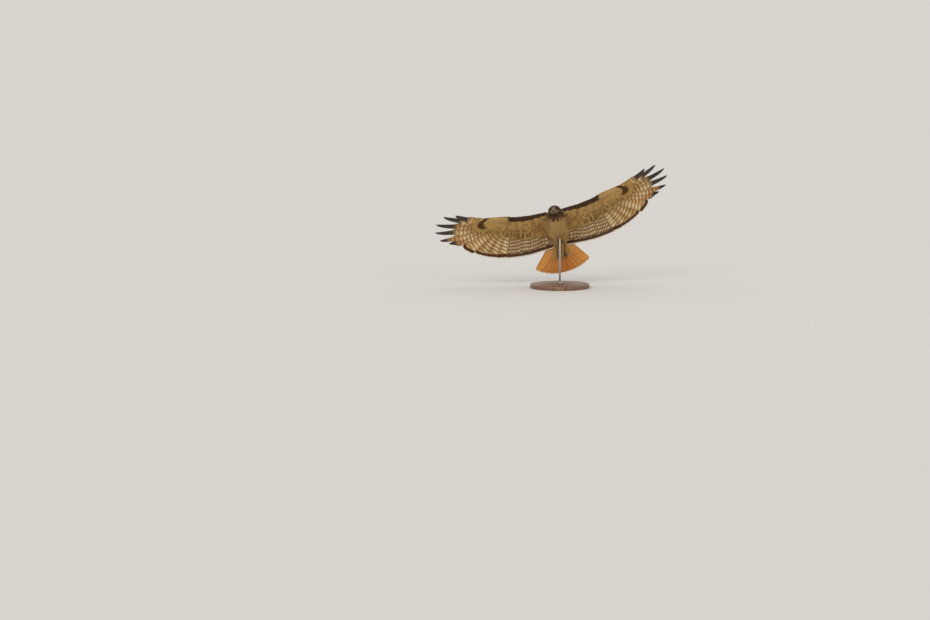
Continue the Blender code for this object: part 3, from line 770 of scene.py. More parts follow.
@dataclass(frozen=True)
class WoodFinish:
    """Walnut, turned and oiled: long dark grain lines 2 to 6 mm apart under a satin film."""

    name: str = "oiled_walnut"
    light: str = "6B4A30"
    dark: str = "462E1D"

    def make(self) -> Paint:
        """Builds the material.

        Returns:
            The material.
        """
        made, add, plug = principled(
            self.name, {"IOR": 1.5, "Coat Weight": 0.3, "Coat Roughness": 0.25, "Roughness": 0.45}
        )
        place = add("TexCoord").outputs["Object"]
        stretch = add("Mapping", {"Vector": place, "Scale": (1.0, 7.0, 7.0)})
        bend = add("TexNoise", {"Vector": stretch, "Scale": 5.0, "Detail": 3.0})
        rings = add(
            "TexWave",
            {"Vector": stretch, "Scale": 7.0, "Distortion": 5.0, "Detail": 3.0, "Detail Scale": 1.2},
            bands_direction="Y",
        )
        share = add("Math", (bend, 0.6, rings), operation="MULTIPLY_ADD")
        stops = ((0.2, self.dark), (0.75, self.light), (1.0, "7E5A3B"))
        colour = add("ValToRGB", (share,), stops=stops)
        pores = add("TexNoise", {"Vector": stretch, "Scale": 240.0, "Detail": 2.0})
        bump = add("Bump", {"Strength": 0.12, "Distance": 0.0003, "Height": pores})
        plug({"Base Color": colour, "Normal": bump})
        return made


@dataclass(frozen=True)
class SteelFinish:
    """Stainless steel, brushed along the rod: grey, with fine lengthwise lines."""

    name: str = "brushed_steel"

    def make(self) -> Paint:
        """Builds the material.

        Returns:
            The material.
        """
        made, add, plug = principled(self.name, {"Metallic": 1.0, "Roughness": 0.3})
        place = add("TexCoord").outputs["Object"]
        # Brush lines are about 0.1 mm, drawn at about 1 mm across so that they show
        stretch = add("Mapping", {"Vector": place, "Scale": (1.0, 1.0, 0.02)})
        lines = add("TexNoise", {"Vector": stretch, "Scale": 1000.0, "Detail": 2.0})
        stops = ((0.3, "8E8E8C"), (0.7, "B8B8B5"))
        colour = add("ValToRGB", (lines,), stops=stops)
        rough = add("MapRange", (lines, 0.3, 0.7, 0.24, 0.38))
        plug({"Base Color": colour, "Roughness": rough})
        return made


@dataclass(frozen=True)
class PaperFinish:
    """Seamless photographic paper: pale, matt and even."""

    name: str = "seamless_paper"

    def make(self) -> Paint:
        """Builds the material.

        Returns:
            The material.
        """
        made, add, plug = principled(self.name, {"Roughness": 0.9})
        place = add("TexCoord").outputs["Object"]
        tone = add("TexNoise", {"Vector": place, "Scale": 0.6})
        stops = ((0.3, "D9D7D3"), (0.7, "DAD8D4"))
        colour = add("ValToRGB", (tone,), stops=stops)
        plug({"Base Color": colour})
        return made


class Paints:
    """Every material, built once."""

    def __init__(self) -> None:
        """Builds all of them."""
        self.flight = PlumageFinish(
            "flight_feather_keratin", bar_spacing_mm=20.0, shaft=0.42, edge=0.08, fringe_mm=3.6,
            stagger_mm=5.5, streak=0.0, fringe_colour="E6DCC6",
        ).make()
        self.coverts = PlumageFinish("covert_feather_keratin", bar_spacing_mm=12.0, shaft=0.35).make()
        self.coat = PlumageFinish(
            "contour_feather_keratin", bar_spacing_mm=9.0, barb_mm=1.2, roughness=0.7
        ).make()
        self.cere = BareSkinFinish("cere_skin", "998B3B", "5A5424").make()
        self.lid = BareSkinFinish("lid_skin", "5B5140", "2A241C", 0.6).make()
        # Painted shade: the feet's yellow is darkened to the brown they show in the shade under the tail
        self.foot = BareSkinFinish("foot_scale_horn", "775A24", "453315", 1.1).make()
        self.bill = HornFinish("bill_horn", "383A3D", "101014").make()
        self.talon = HornFinish("talon_horn", "2A2622", "0C0B0B").make()
        self.eye = EyeFinish().make()
        self.wood = WoodFinish().make()
        self.steel = SteelFinish().make()
        self.paper = PaperFinish().make()


# Plumage colours, the same for skin and coat


@dataclass(frozen=True)
class Plumage:
    """The bird's markings as functions of the place on it."""

    belly: str = "977240"
    breast: str = "997646"
    flank: str = "966E3B"
    undertail: str = "B0823F"
    back: str = "4F3B29"
    back_pale: str = "8A6C48"
    nape: str = "553A22"
    crown: str = "372312"
    throat: str = "3E2511"
    forehead: str = "94795A"
    ink: str = "33231A"

    def body(self, points: Array, noise: Array) -> tuple[Array, Array, Array]:
        """Colours of the body, head and legs.

        Args:
            points: Places in the bird's frame.
            noise: One random number from 0 to 1 for each place.

        Returns:
            The ground colour, the pale fringe's strength, and the dark shaft streak's strength.
        """
        x, y, z = points[..., 0], points[..., 1], points[..., 2]
        centre, _, tall = body_at(y)
        level = (z - centre) / tall
        dorsal = step(-0.15, 0.30, level + 0.10 * (noise - 0.5))
        ventral = mixed(self.breast, self.belly, step(0.0, 0.06, y))
        ventral = mixed(ventral, self.flank, step(0.038, 0.056, np.abs(x) + 0.008 * (noise - 0.5)))
        ventral = mixed(ventral, self.undertail, step(0.12, 0.18, y))
        # Painted shade: a dark patch on the body's side where the root of the wing meets it
        armpit_shade = np.hypot(np.abs(x) - 0.050, y - 0.070) + 0.010 * (noise - 0.5)
        ventral = mixed(ventral, "64401B", 0.75 * step(0.022, 0.010, armpit_shade))
        mantle = mixed(self.nape, self.back, step(-0.04, 0.02, y))
        mantle = mixed(mantle, self.back_pale, 0.45 * step(0.72, 0.95, noise))
        mantle = mixed(mantle, self.undertail, 0.65 * step(0.155, 0.185, y))
        colour = mixed(ventral, mantle, dorsal)
        # Brown sides of the neck and the streaked band across the belly
        collar = step(0.028, 0.044, np.abs(x)) * step(0.030, 0.0, y)
        colour = mixed(colour, self.nape, 0.55 * collar * (1 - dorsal))
        belt = step(0.035, 0.055, y) * step(0.115, 0.085, y) * (1 - dorsal)
        streak = 0.85 * belt * step(0.40, 0.70, noise) + 0.45 * dorsal
        head = head_local(points)
        ball = np.linalg.norm(head / np.array(HEAD_HALF), axis=-1)
        on_head = step(1.44, 1.16, ball + 0.26 * (noise - 0.5))
        on_head = on_head * step(0.034, 0.020, head[..., 1] * (head[..., 2] < 0))
        hood = mixed(self.throat, self.crown, step(-0.012, 0.006, head[..., 2]))
        brow = step(0.010, 0.004, np.abs(head[..., 0])) * step(0.004, 0.010, head[..., 2])
        brow = brow * step(-0.022, -0.030, head[..., 1])
        lore = step(0.007, 0.002, np.abs(head[..., 2] - 0.001)) * step(-0.022, -0.028, head[..., 1])
        hood = mixed(hood, self.forehead, np.clip(brow + 0.7 * lore, 0, 1))
        colour = mixed(colour, hood, on_head)
        fringe = (0.20 + 0.30 * dorsal) * (1 - on_head) + 0.08 * on_head
        return colour, fringe, streak * (1 - on_head) + 0.55 * on_head

    def wing(self, face: Face, out: Array, back: Array, noise: Array) -> tuple:
        """Colours of the wing coverts, by their place in the wing's plan.

        Args:
            face: The wing's upper or lower surface.
            out: Distance out from the midline.
            back: Distance back from the shoulder line.
            noise: One random number from 0 to 1 for each place.

        Returns:
            The ground colours, and how far each place lies in a dark mark.
        """
        front = front_of(out)
        behind = back - front
        if face is Face.ABOVE:
            colour = mixed("4A3726", "7A6142", 0.55 * step(0.70, 0.92, noise))
            colour = mixed(colour, "3A2B1F", 0.6 * step(0.27, 0.33, out))
            # Painted highlight: the coverts along the wing's front edge are paler, as where light catches
            # that edge
            return mixed(colour, "A07C4E", 0.8 * step(0.013, 0.003, behind)), 0 * out
        colour = mixed("AC8549", "916E3A", step(0.2, 0.8, noise))
        colour = mixed(colour, "AB8649", step(0.25, 0.31, out))
        # The dark bar along the front edge between shoulder and wrist, and the comma at the wrist
        deep = 0.010 + 0.012 * step(0.06, 0.16, out) + 0.006 * (noise - 0.5)
        mark = step(0.034, 0.046, out) * step(0.246, 0.230, out) * step(deep + 0.003, deep - 0.003, behind)
        comma = 0.380 - 32 * (back + 0.020) ** 2 + 0.004 * (noise - 0.5)
        comma = step(0.0195, 0.0135, np.abs(out - comma)) * step(0.010, 0.000, back)
        # Painted shade: a dark patch under the wing, in the fold where it meets the body
        armpit_shade = np.hypot(out - 0.060, back - 0.072) + 0.010 * (noise - 0.5)
        colour = mixed(colour, "5E3917", 0.75 * step(0.022, 0.010, armpit_shade))
        colour = mixed(colour, "221104", 0.97 * mark)
        return mixed(colour, "341D08", 0.94 * comma), np.maximum(mark, comma)


# Feathers of wings and tail

# The width of the dark end band, in mm, where a feather has none
NO_BAND = -20.0
# What the feathers of coverts, scapulars and axillaries have in common
COVERT_FORM = {"webs": (1.0, 0.5, -0.5, -1.0), "rib": 0.0002, "quill_end": 0.0}


@dataclass
class WingForm:
    """The mean surface of one wing, over a plan of distance out and back."""

    side: Side
    root_z: float = 0.022
    incidence: float = 6.3
    washout: float = 6.0
    camber: float = 0.016
    tip_rise: float = 0.045
    # How far out the wing starts to bend up, its tip is, the washout is full, and the camber starts to fade
    bend_from: float = 0.38
    tip_out: float = 0.61
    washed_out: float = 0.60
    camber_out: float = 0.30
    # How far back the camber starts, and how far behind that it reaches its full depth
    camber_back: float = 0.02
    camber_deep: float = 0.18
    core_half: tuple = (0.0130, 0.0105, 0.0075, 0.0036)
    core_behind: tuple = (0.026, 0.024, 0.018, 0.010)
    # The wings' rise and their turn in the plan, in degrees
    rises: dict = field(default_factory=lambda: {Side.LEFT: 4.6, Side.RIGHT: 2.3})
    sweeps: dict = field(default_factory=lambda: {Side.LEFT: -1.85, Side.RIGHT: 0.2})
    # How far the coverts stand off behind the arm, and over what distance the arm's thickness fades there
    rest_above: float = 0.0026
    rest_below: float = 0.0040
    fade: float = 0.016

    def place(self, out: Array, back: Array, above: Array) -> Array:
        """Points of the wing in the bird's frame.

        Args:
            out: Distance out from the midline.
            back: Distance back from the shoulder line.
            above: Height over the mean surface.

        Returns:
            The points.
        """
        rise = math.tan(math.radians(self.rises[self.side])) * np.maximum(0, out - SHOULDER[0])
        flex = self.tip_rise * (np.maximum(0, out - self.bend_from) / (self.tip_out - self.bend_from)) ** 2
        tilt = np.radians(self.incidence - self.washout * np.minimum(1, out / self.washed_out))
        chord = np.maximum(0, (back - self.camber_back) / self.camber_deep)
        fade = 1 - 0.6 * np.clip((out - self.camber_out) / 0.30, 0, 1)
        height = self.root_z + rise + flex - np.tan(tilt) * back - self.camber * fade * chord**2
        reach = out - SHOULDER[0]
        sweep = math.radians(self.sweeps[self.side])
        x = SHOULDER[0] + reach * math.cos(sweep) - back * math.sin(sweep)
        y = reach * math.sin(sweep) + back * math.cos(sweep)
        return stacked(self.side.value * x, y, height + above)

    def arm_end(self, out: Array) -> Array:
        """How far back the flesh of the arm reaches, by the distance out."""
        return arm_line(out) + np.interp(out, ARM_OUTS, self.core_behind)

    def cover(self, face: Face, out: Array, back: Array) -> Array:
        """The flesh's height, as at the front edge for places ahead of it."""
        return self.flesh(face, out, np.maximum(back, front_of(out)))

    def flesh(self, face: Face, out: Array, back: Array) -> Array:
        """How far the arm and the coverts over it stand off the mean surface.

        Args:
            face: Above or below.
            out: Distance out from the midline.
            back: Distance back from the shoulder line.

        Returns:
            The heights, all positive.
        """
        front, end = front_of(out), self.arm_end(out)
        half = np.interp(out, ARM_OUTS, self.core_half)
        share = (back - front) / (end - front)
        section = (0.25, 0.72, 1.0, 0.88, 0.62) if face is Face.ABOVE else (0.25, 0.62, 0.85, 0.80, 0.62)
        thick = half * np.interp(share, (0, 0.08, 0.35, 0.70, 1.0), section)
        rest = self.rest_above if face is Face.ABOVE else self.rest_below
        fade = np.exp(-np.maximum(0, back - end) / self.fade)
        return np.where(share > 1, rest + (section[-1] * half - rest) * fade, thick)


@dataclass
class Vanes:
    """Feathers of one kind over a plan, with one row of each array for each feather."""

    root: Array
    tip: Array
    outer: Array
    inner: Array
    notch: Array | None = None
    finger: tuple = (0.0065, 0.0240)
    finger_taper: float = 0.45
    bow: Array | float = 0.02
    tilt: float = 0.09
    quill_end: float = 0.10
    full_from: float = 0.34
    tip_from: Array | float = 0.80
    stations: int = 34
    thick: float = 0.0007
    rib: float = 0.0005
    webs: tuple = (1.0, 0.66, 0.30, 0.0, 0.0, -0.30, -0.66, -1.0)
    seed: int = 1

    def shape(self, place: Callable, above: Callable) -> tuple[Array, Array, Array, Array]:
        """Builds the vanes.

        Args:
            place: Maps distance out, back and height to points.
            above: Maps distance out, back and the share along the feather to its height.

        Returns:
            Points as (feather, station, ring point, xyz), lie, the shares along the feathers and the plan.
        """
        rng = np.random.default_rng(self.seed)
        count = len(self.root)
        t = 1 - (1 - np.linspace(0, 1, self.stations)) ** 1.5
        t = np.minimum(t, 0.9985)[None, :, None]
        run = (self.tip - self.root)[:, None, :]
        length = np.linalg.norm(run, axis=-1, keepdims=True)
        side_on = stacked(run[..., 1], -run[..., 0]) / length
        bow = np.broadcast_to(self.bow, (count,))[:, None, None]
        tip_from = np.broadcast_to(self.tip_from, (count,))[:, None]
        middle = self.root[:, None, :] + run * t + side_on * (bow * length * 4 * t * (1 - t))
        spread = step(self.quill_end, self.full_from, t[..., 0])
        blunt = np.maximum(0, (t[..., 0] - tip_from) / (1 - tip_from))
        share = spread * np.sqrt(np.maximum(0, 1 - blunt**2.4))
        wear = 1 + 0.014 * rng.standard_normal((count, self.stations))
        outer = np.repeat(self.outer[:, None], self.stations, 1)
        inner = np.repeat(self.inner[:, None], self.stations, 1)
        if self.notch is not None:
            notch = np.nan_to_num(self.notch, nan=2.0)[:, None]
            cut = step(0, 1, (t[..., 0] - notch) / 0.12)
            narrow = 1 - self.finger_taper * np.maximum(0, (t[..., 0] - notch) / (1 - notch))
            outer = outer + (self.finger[0] * narrow - outer) * cut
            inner = inner + (self.finger[1] * narrow - inner) * cut
        quill = np.minimum(0.0011 * (1.15 - t[..., 0]), 0.3 * np.maximum(outer * share, 0.0014))
        outer = np.maximum(1.6 * quill, outer * share * wear)
        inner = np.maximum(1.6 * quill, inner * share * wear[:, ::-1])
        share = np.array(self.webs)
        ribs = np.array([0, 0, 0, 1, -1, 0, 0, 0]) if len(share) == 8 else np.zeros(len(share))
        off = np.where(share > 0, share * outer[..., None], share * inner[..., None])
        off = off + ribs * quill[..., None]
        droop = -0.05 * np.where(share > 0, outer[..., None], inner[..., None]) * share**2
        skin = 0.5 * self.thick * (1 - 0.6 * share**2) * (1.1 - 0.5 * t)
        ridge = self.rib * np.abs(ribs) * (1.1 - t)
        base = middle[:, :, None, :] + side_on[:, :, None, :] * off[..., None]
        lift = above(base[..., 0], base[..., 1], np.broadcast_to(t, off.shape)) + self.tilt * off + droop
        upper = lift + skin + 0.5 * ridge
        lower = lift - skin - ridge
        plan = np.concatenate([base, base[:, :, ::-1]], 2)
        heights = np.concatenate([upper, lower[:, :, ::-1]], 2)
        off = np.concatenate([off, off[:, :, ::-1]], 2)
        across = np.broadcast_to(np.concatenate([share, share[::-1]]), off.shape)
        from_tip = np.broadcast_to((1 - t) * length, off.shape)
        lie = stacked(1000 * from_tip, 1000 * off, across)
        return place(plan[..., 0], plan[..., 1], heights), lie, np.broadcast_to(t, off.shape), plan


def lower_side(shape: tuple) -> Array:
    """1 on the ring points of the vanes' lower side, 0 on the upper, for arrays of one shape."""
    ring = np.arange(shape[2]) >= shape[2] // 2
    return np.broadcast_to(ring.astype(float), shape)


@dataclass
class Assembly:
    """A sub-assembly, which is given the materials and the markings."""

    paints: Paints
    plumage: Plumage

    def feathers(
        self, name: str, paint: Paint, slot: str, points: Array, lie: Array, tint: Array, shade: Array,
        marks: Array,
    ) -> Piece:
        """Makes one piece of feathers, each on its own cell of the bake.

        Args:
            name: The piece's name.
            paint: Its material.
            slot: Not used; it is only passed on.
            points: The feathers' points.
            lie: Their distances from tip and shaft, and the share across.
            tint: Ground colours, with the pale fringe's strength.
            shade: Ink colours, with the dark mark's strength.
            marks: Strength of the bars, width of the end band, and the streak or stagger.

        Returns:
            The piece.
        """
        made = Bodies(points, {"tint": tint, "shade": shade}, {"lie": lie, "marks": marks})
        made.grid_patches()
        return made.make(name, paint, slot)


@dataclass
class FlightFeathers(Assembly):
    """The tertials, secondaries and primaries of one wing."""

    form: WingForm
    webs: tuple = (0.013, 0.032)
    inner_primary_webs: tuple = (0.021, 0.046)
    fingered_webs: tuple = (0.012, 0.033)
    notches: tuple = (math.nan, math.nan, math.nan, math.nan, 0.82, 0.66, 0.61, 0.57, 0.53, 0.50)

    def rows(self) -> tuple[Array, Array, Array, Array]:
        """Lays the feathers out, from the body outwards.

        Returns:
            Root, tip, web widths and notch of each feather.
        """
        edge = smooth_curve(TRAILING_EDGE, 6)
        roots = []
        for count, low, high, first in (
            (TERTIALS, SHOULDER, ELBOW, 0.30),
            (SECONDARIES, ELBOW, WRIST, 0.0),
            (PRIMARIES, WRIST, HAND_TIP, 0.0),
        ):
            share = first + (1 - first) * ((np.arange(count) + 0.5) / count)[:, None]
            roots.append(np.array(low) + (np.array(high) - np.array(low)) * share)
        tips = [
            along_curve(edge, 0.018 + 0.020 * np.arange(TERTIALS)),
            along_curve(edge, 0.0985 + 0.0155 * np.arange(SECONDARIES)),
            np.array(PRIMARY_TIPS),
        ]
        webs = [(self.webs[0], 0.85 * self.webs[1])] * TERTIALS + [self.webs] * SECONDARIES
        webs += [self.inner_primary_webs if math.isnan(n) else self.fingered_webs for n in self.notches]
        notch = np.array([math.nan] * (TERTIALS + SECONDARIES) + list(self.notches))
        return np.concatenate(roots), np.concatenate(tips), np.array(webs), notch

    def build(self) -> None:
        """Builds the feathers as one piece that stands for the wing's solid."""
        root, tip, webs, notch = self.rows()
        plain = np.isnan(notch)
        vanes = Vanes(
            root, tip, webs[:, 0], webs[:, 1], notch, bow=np.where(plain, 0.02, -0.004),
            tip_from=np.where(plain, 0.88, 0.80), seed=11,
        )
        points, lie, t, _ = vanes.shape(self.form.place, lambda out, back, share: 0.0 * out)
        below = lower_side(t.shape)
        own = each(np.random.default_rng(12).random(len(root)), t)
        index = each(np.arange(len(root)), t)
        first_primary = TERTIALS + SECONDARIES
        hand = step(first_primary - 2, first_primary + 1, index)
        # Below, a pale window runs down the strip of each inner web that its neighbour leaves bare
        pale = mixed("B48A54", "D2AC74", own)
        window = step(0.46, 0.60, -lie[..., 2]) * step(0.92, 0.76, -lie[..., 2]) * step(0.30, 0.60, t)
        pale = mixed(pale, "EBD3A6", (0.40 + 0.35 * own) * window)
        pale = mixed("A8804A", pale, step(0.25, 0.60, t)) * (0.86 + 0.14 * hand[..., None])
        # Painted shade: below, each web darkens along both its edges, where the feathers overlap
        pale = mixed(pale, "7E582F", 0.55 * step(0.82, 1.0, np.abs(lie[..., 2])))
        ground = mixed(mixed("6A5440", "5C4936", own), pale, below)
        cut = each(notch, t)
        whole = np.isnan(cut)
        finger = np.where(whole, 0, step(0.0, 1.0, (t - cut + 0.02) / 0.14))
        # The fifth and sixth primaries keep a rufous base to their fingers below
        rufous = np.isin(index, (first_primary + 4, first_primary + 5))
        finger = np.where(rufous & (below > 0.5), step(0.80, 0.90, t), finger)
        ground = mixed(ground, "A66E3A", 0.7 * rufous * below * step(0.55, 0.75, t))
        ink = mixed(mixed("2E2219", "472A11", below), "2B2A28", finger)
        bars = (0.55 + 0.22 * below) * step(0.12, 0.30, t) * (1 - 0.25 * hand * below)
        name = f"wing_{self.form.side.label}"
        piece = self.feathers(
            f"{name}_remiges", self.paints.flight, "wing_plumage", points, lie,
            painted(ground, np.where(whole, 0.85, 0.10)), painted(ink, 0.96 * finger),
            stacked(bars, np.where(whole, 18.5 + 6.0 * own, NO_BAND), (own * 7.0) % 1.0),
        )
        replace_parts(piece, name)


@dataclass
class WingCoverts(Assembly):
    """The tiers of coverts over one face of a wing, laid along the fan that its flight feathers make."""

    form: WingForm
    face: Face
    arm_share: float = 0.44
    hand_share: float = 0.36
    # Each tier: where its tips come, its length, spacing, and outer and inner web, in metres
    tiers: tuple = (
        (1.00, 0.078, 0.0125, 0.0105, 0.0135), (0.74, 0.052, 0.0110, 0.0090, 0.0105),
        (0.57, 0.036, 0.0095, 0.0075, 0.0080), (0.47, 0.030, 0.0088, 0.0068, 0.0072),
        (0.38, 0.026, 0.0080, 0.0062, 0.0066), (0.30, 0.023, 0.0074, 0.0056, 0.0060),
        (0.23, 0.020, 0.0068, 0.0051, 0.0054), (0.165, 0.018, 0.0062, 0.0047, 0.0050),
        (0.105, 0.015, 0.0056, 0.0043, 0.0045), (0.050, 0.012, 0.0052, 0.0040, 0.0042),
    )
    # The rows along the front edge of the hand: how far behind it their tips come, and their lie
    margin: tuple = (0.0175, 0.0130, 0.0090, 0.0052)
    margin_lie: tuple = (0.90, 0.44)
    # Stations that the feathers of every tier are brought to, so that all join in one mesh
    stations: int = 14

    def fan(self) -> tuple[Array, Array, Array, Array]:
        """Spreads the flight feathers' lines to a fine fan.

        Returns:
            Root and direction of each line, and how far along it the front edge and the rear edge lie.
        """
        root, tip, _, _ = FlightFeathers(self.paints, self.plumage, self.form).rows()
        whole = np.linspace(-2.2, len(root) - 0.45, 270)
        start, end = (stacked(*(self.extended(whole, column) for column in rows.T)) for rows in (root, tip))
        length = np.linalg.norm(end - start, axis=1)
        way = (end - start) / length[:, None]
        reach = np.linspace(0.02, -0.09, 221)
        trial = start[:, None] + way[:, None] * reach[None, :, None]
        outside = trial[..., 1] <= front_of(trial[..., 0])
        ahead = np.where(outside.any(1), reach[np.argmax(outside, axis=1)], -0.03)
        share = self.arm_share + (self.hand_share - self.arm_share) * step(15.0, 18.0, whole)
        return start, way, ahead, share * length

    @staticmethod
    def extended(where: Array, values: Array) -> Array:
        """Reads a row of values between its places, and carries on past both ends.

        Args:
            where: Places, counted from 0 at the first value.
            values: The row.

        Returns:
            One value for each place.
        """
        last = len(values) - 1
        found = np.interp(where, np.arange(last + 1), values)
        found += np.where(where < 0, where * (values[1] - values[0]), 0)
        return found + np.where(where > last, (where - last) * (values[-1] - values[-2]), 0)

    def lines(self) -> list[tuple]:
        """Lays out the rows of feathers.

        Returns:
            For each row its line of tips, the directions along it, the distances out, the room to the front
            edge, and the feathers' length, spacing and webs.
        """
        start, fan_way, ahead, behind = self.fan()
        rows = []
        for share, *sizes in self.tiers:
            deep = (behind - ahead) * share
            line = start + fan_way * (ahead + deep)[:, None]
            rows.append((line, fan_way, start[:, 0], deep + 0.0025, sizes))
        out = np.linspace(0.236, 0.374, 60)
        for depth in self.margin:
            line = stacked(out, front_of(out) + depth)
            room = 0 * out + depth / self.margin_lie[1] + 0.001
            rows.append((line, unit(0 * line + self.margin_lie), out, room, (0.016, 0.0056, 0.0045, 0.0047)))
        return rows

    def build(self) -> None:
        """Builds all tiers of the face as one piece."""
        over = self.face is Face.ABOVE
        rng = np.random.default_rng(21 if over else 22)
        parts = []
        for tier, (line, way, outs, room, (long, spacing, outer, inner)) in enumerate(self.lines()):
            run = length_run(line)
            spots = np.arange(0.5 * (tier % 2) * spacing, run[-1], spacing)
            spots = spots + rng.normal(0, 0.10 * spacing, len(spots))
            tip, lay = (
                stacked(*(np.interp(spots, run, column) for column in rows.T)) for rows in (line, way)
            )
            lay /= np.linalg.norm(lay, axis=1, keepdims=True)
            hand = np.interp(spots, run, step(0.24, 0.30, outs))
            size = (1 + 0.05 * rng.standard_normal(len(spots))) * (1 - 0.12 * hand)
            tip = tip + lay * (0.06 * long * rng.standard_normal(len(spots)))[:, None]
            # None starts ahead of the wing's front edge
            root = tip - lay * np.minimum(long * size, np.interp(spots, run, room))[:, None]
            wide = 1 + 0.35 * hand * (tier < 3)
            small = tier > 1
            vanes = Vanes(
                root, tip, outer * size * wide, inner * size * wide, tilt=0.045, full_from=0.38,
                tip_from=0.66 if small else 0.76, stations=9 if small else self.stations, thick=0.0006,
                seed=30 + tier, **COVERT_FORM,
            )
            sink = 0.0016 if small else 0.0010
            # Each tier rises from under the one ahead to over the one behind
            points, lie, t, plan = vanes.shape(
                self.form.place,
                lambda out, back, t: self.face.value
                * (self.form.cover(self.face, out, back) - sink + 2 * sink * t),
            )
            noise = each(rng.random(len(root)), t)
            ground, dark = self.plumage.wing(self.face, plan[..., 0], plan[..., 1], noise)
            spot = 0 * t
            if over:
                ink, fringe, streak, bars = "2B1F16", 0.5, 0.35, 0.5 * (tier < 2)
            else:
                ink, fringe, streak, bars = "4A3219", 0.22, 0.45 * (noise > 0.55), 0.25 * (tier < 1)
                if not small:
                    # Dark drops before the tips of the two longest tiers, weaker towards the body
                    spot = step(0.40, 0.62, t) * step(0.99, 0.90, t)
                    spot = spot * step(0.42, 0.14, np.abs(lie[..., 2] + 0.42))
                    spot = (0.95 - 0.4 * tier) * spot * step(0.05, 0.30, noise)
                    spot = spot * step(0.08, 0.17, plan[..., 0])
                    spot = spot * step(0.400, 0.370, plan[..., 0])
            tint = painted(ground, fringe * (1 - 0.85 * dark))
            marks = stacked(bars * step(0.2, 0.4, t), NO_BAND, streak)
            parts.append([self.padded(array) for array in (points, lie, tint, painted(ink, spot), marks)])
        label = "upper" if over else "under"
        name = f"wing_{self.form.side.label}_{label}_coverts"
        joined = (np.concatenate(found) for found in zip(*parts))
        self.feathers(name, self.paints.coverts, "wing_plumage", *joined)

    def padded(self, values: Array) -> Array:
        """Resamples an array of vanes to the common number of stations.

        Args:
            values: The array, with the stations on its second axis.

        Returns:
            The array with as many stations as every tier has.
        """
        have = values.shape[1]
        if have == self.stations:
            return values
        at = np.linspace(0, have - 1, self.stations)
        low = np.floor(at).astype(int).clip(0, have - 2)
        share = (at - low).reshape(1, -1, 1, 1)
        return values[:, low] * (1 - share) + values[:, low + 1] * share


@dataclass
class TailFan(Assembly):
    """Twelve tail feathers in an open fan."""

    each_side: int = 6
    length: float = 0.223
    outer_shorter: float = 0.012
    first_angle: float = 2.6
    last_angle: float = 33.6
    root_half: float = 0.018
    webs: tuple = (0.018, 0.028)

    def place(self, out: Array, back: Array, above: Array) -> Array:
        """Points of the tail's plan in the bird's frame."""
        drop = Matrix.Translation(TAIL_ROOT) @ Matrix.Rotation(-math.radians(TAIL_DROP), 4, "X")
        return moved(drop, stacked(out, back, above))

    def half(self, side: Side) -> tuple[Array, Array, Array, Array]:
        """Builds the six feathers of one side, which is turned by mirroring the plan.

        Args:
            side: Which side.

        Returns:
            Points, lie, the shares along the feathers, and where their lower side is.
        """
        share = np.arange(self.each_side) / (self.each_side - 1)
        angle = np.radians(self.first_angle + (self.last_angle - self.first_angle) * share)
        root = stacked(0.002 + (self.root_half - 0.002) * share, 0 * share)
        long = self.length - self.outer_shorter * share**2
        tip = root + long[:, None] * stacked(np.sin(angle), np.cos(angle))
        layer = 0.0006 + 0.0006 * side.value - 0.0004 * np.arange(self.each_side)
        webs = np.repeat([self.webs], self.each_side, 0)
        vanes = Vanes(
            root, tip, webs[:, 0], webs[:, 1], bow=-0.012, tilt=0.07, quill_end=0.06, full_from=0.34,
            tip_from=0.80, seed=41 + side.value,
        )
        points, lie, t, _ = vanes.shape(
            lambda out, back, above: self.place(side.value * out, back, above),
            lambda out, back, share: 0 * out + layer[:, None, None],
        )
        arrays = (points, lie, t, lower_side(t.shape))
        return arrays if side is Side.LEFT else tuple(array[:, :, ::-1] for array in arrays)

    def build(self) -> None:
        """Builds the tail feathers as one piece that stands for the tail's solid."""
        points, lie, t, below = (np.concatenate(found) for found in zip(*(self.half(side) for side in Side)))
        own = each(np.random.default_rng(43).random(len(points)), t)
        outermost = each((np.arange(len(points)) % self.each_side) / (self.each_side - 1), t)
        under = mixed("CC7A34", "DE9B50", 0.35 * own + 0.65 * outermost)
        under = mixed(under, "E3B274", 0.5 * (1 - step(0.25, 0.6, t)))
        under = mixed(under, "A55A28", 0.48 * step(0.70, 1.0, np.abs(lie[..., 2])))
        ground = mixed(mixed("9E5427", "A85E2E", own), under, below)
        ground = mixed(ground, "EBD3AE", 0.85 * step(8.0, 5.5, lie[..., 0]))
        # A narrow dark band runs before the pale tip, a little stronger above
        ring = step(19.0, 16.5, lie[..., 0]) * step(9.5, 11.5, lie[..., 0])
        piece = self.feathers(
            "tail_rectrices", self.paints.flight, "tail_plumage", points, lie, painted(ground, 0.8),
            painted("4A2412", (0.85 - 0.65 * below) * ring), stacked(0.10 * (1 - below), NO_BAND, 0.0),
        )
        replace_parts(piece, "tail")


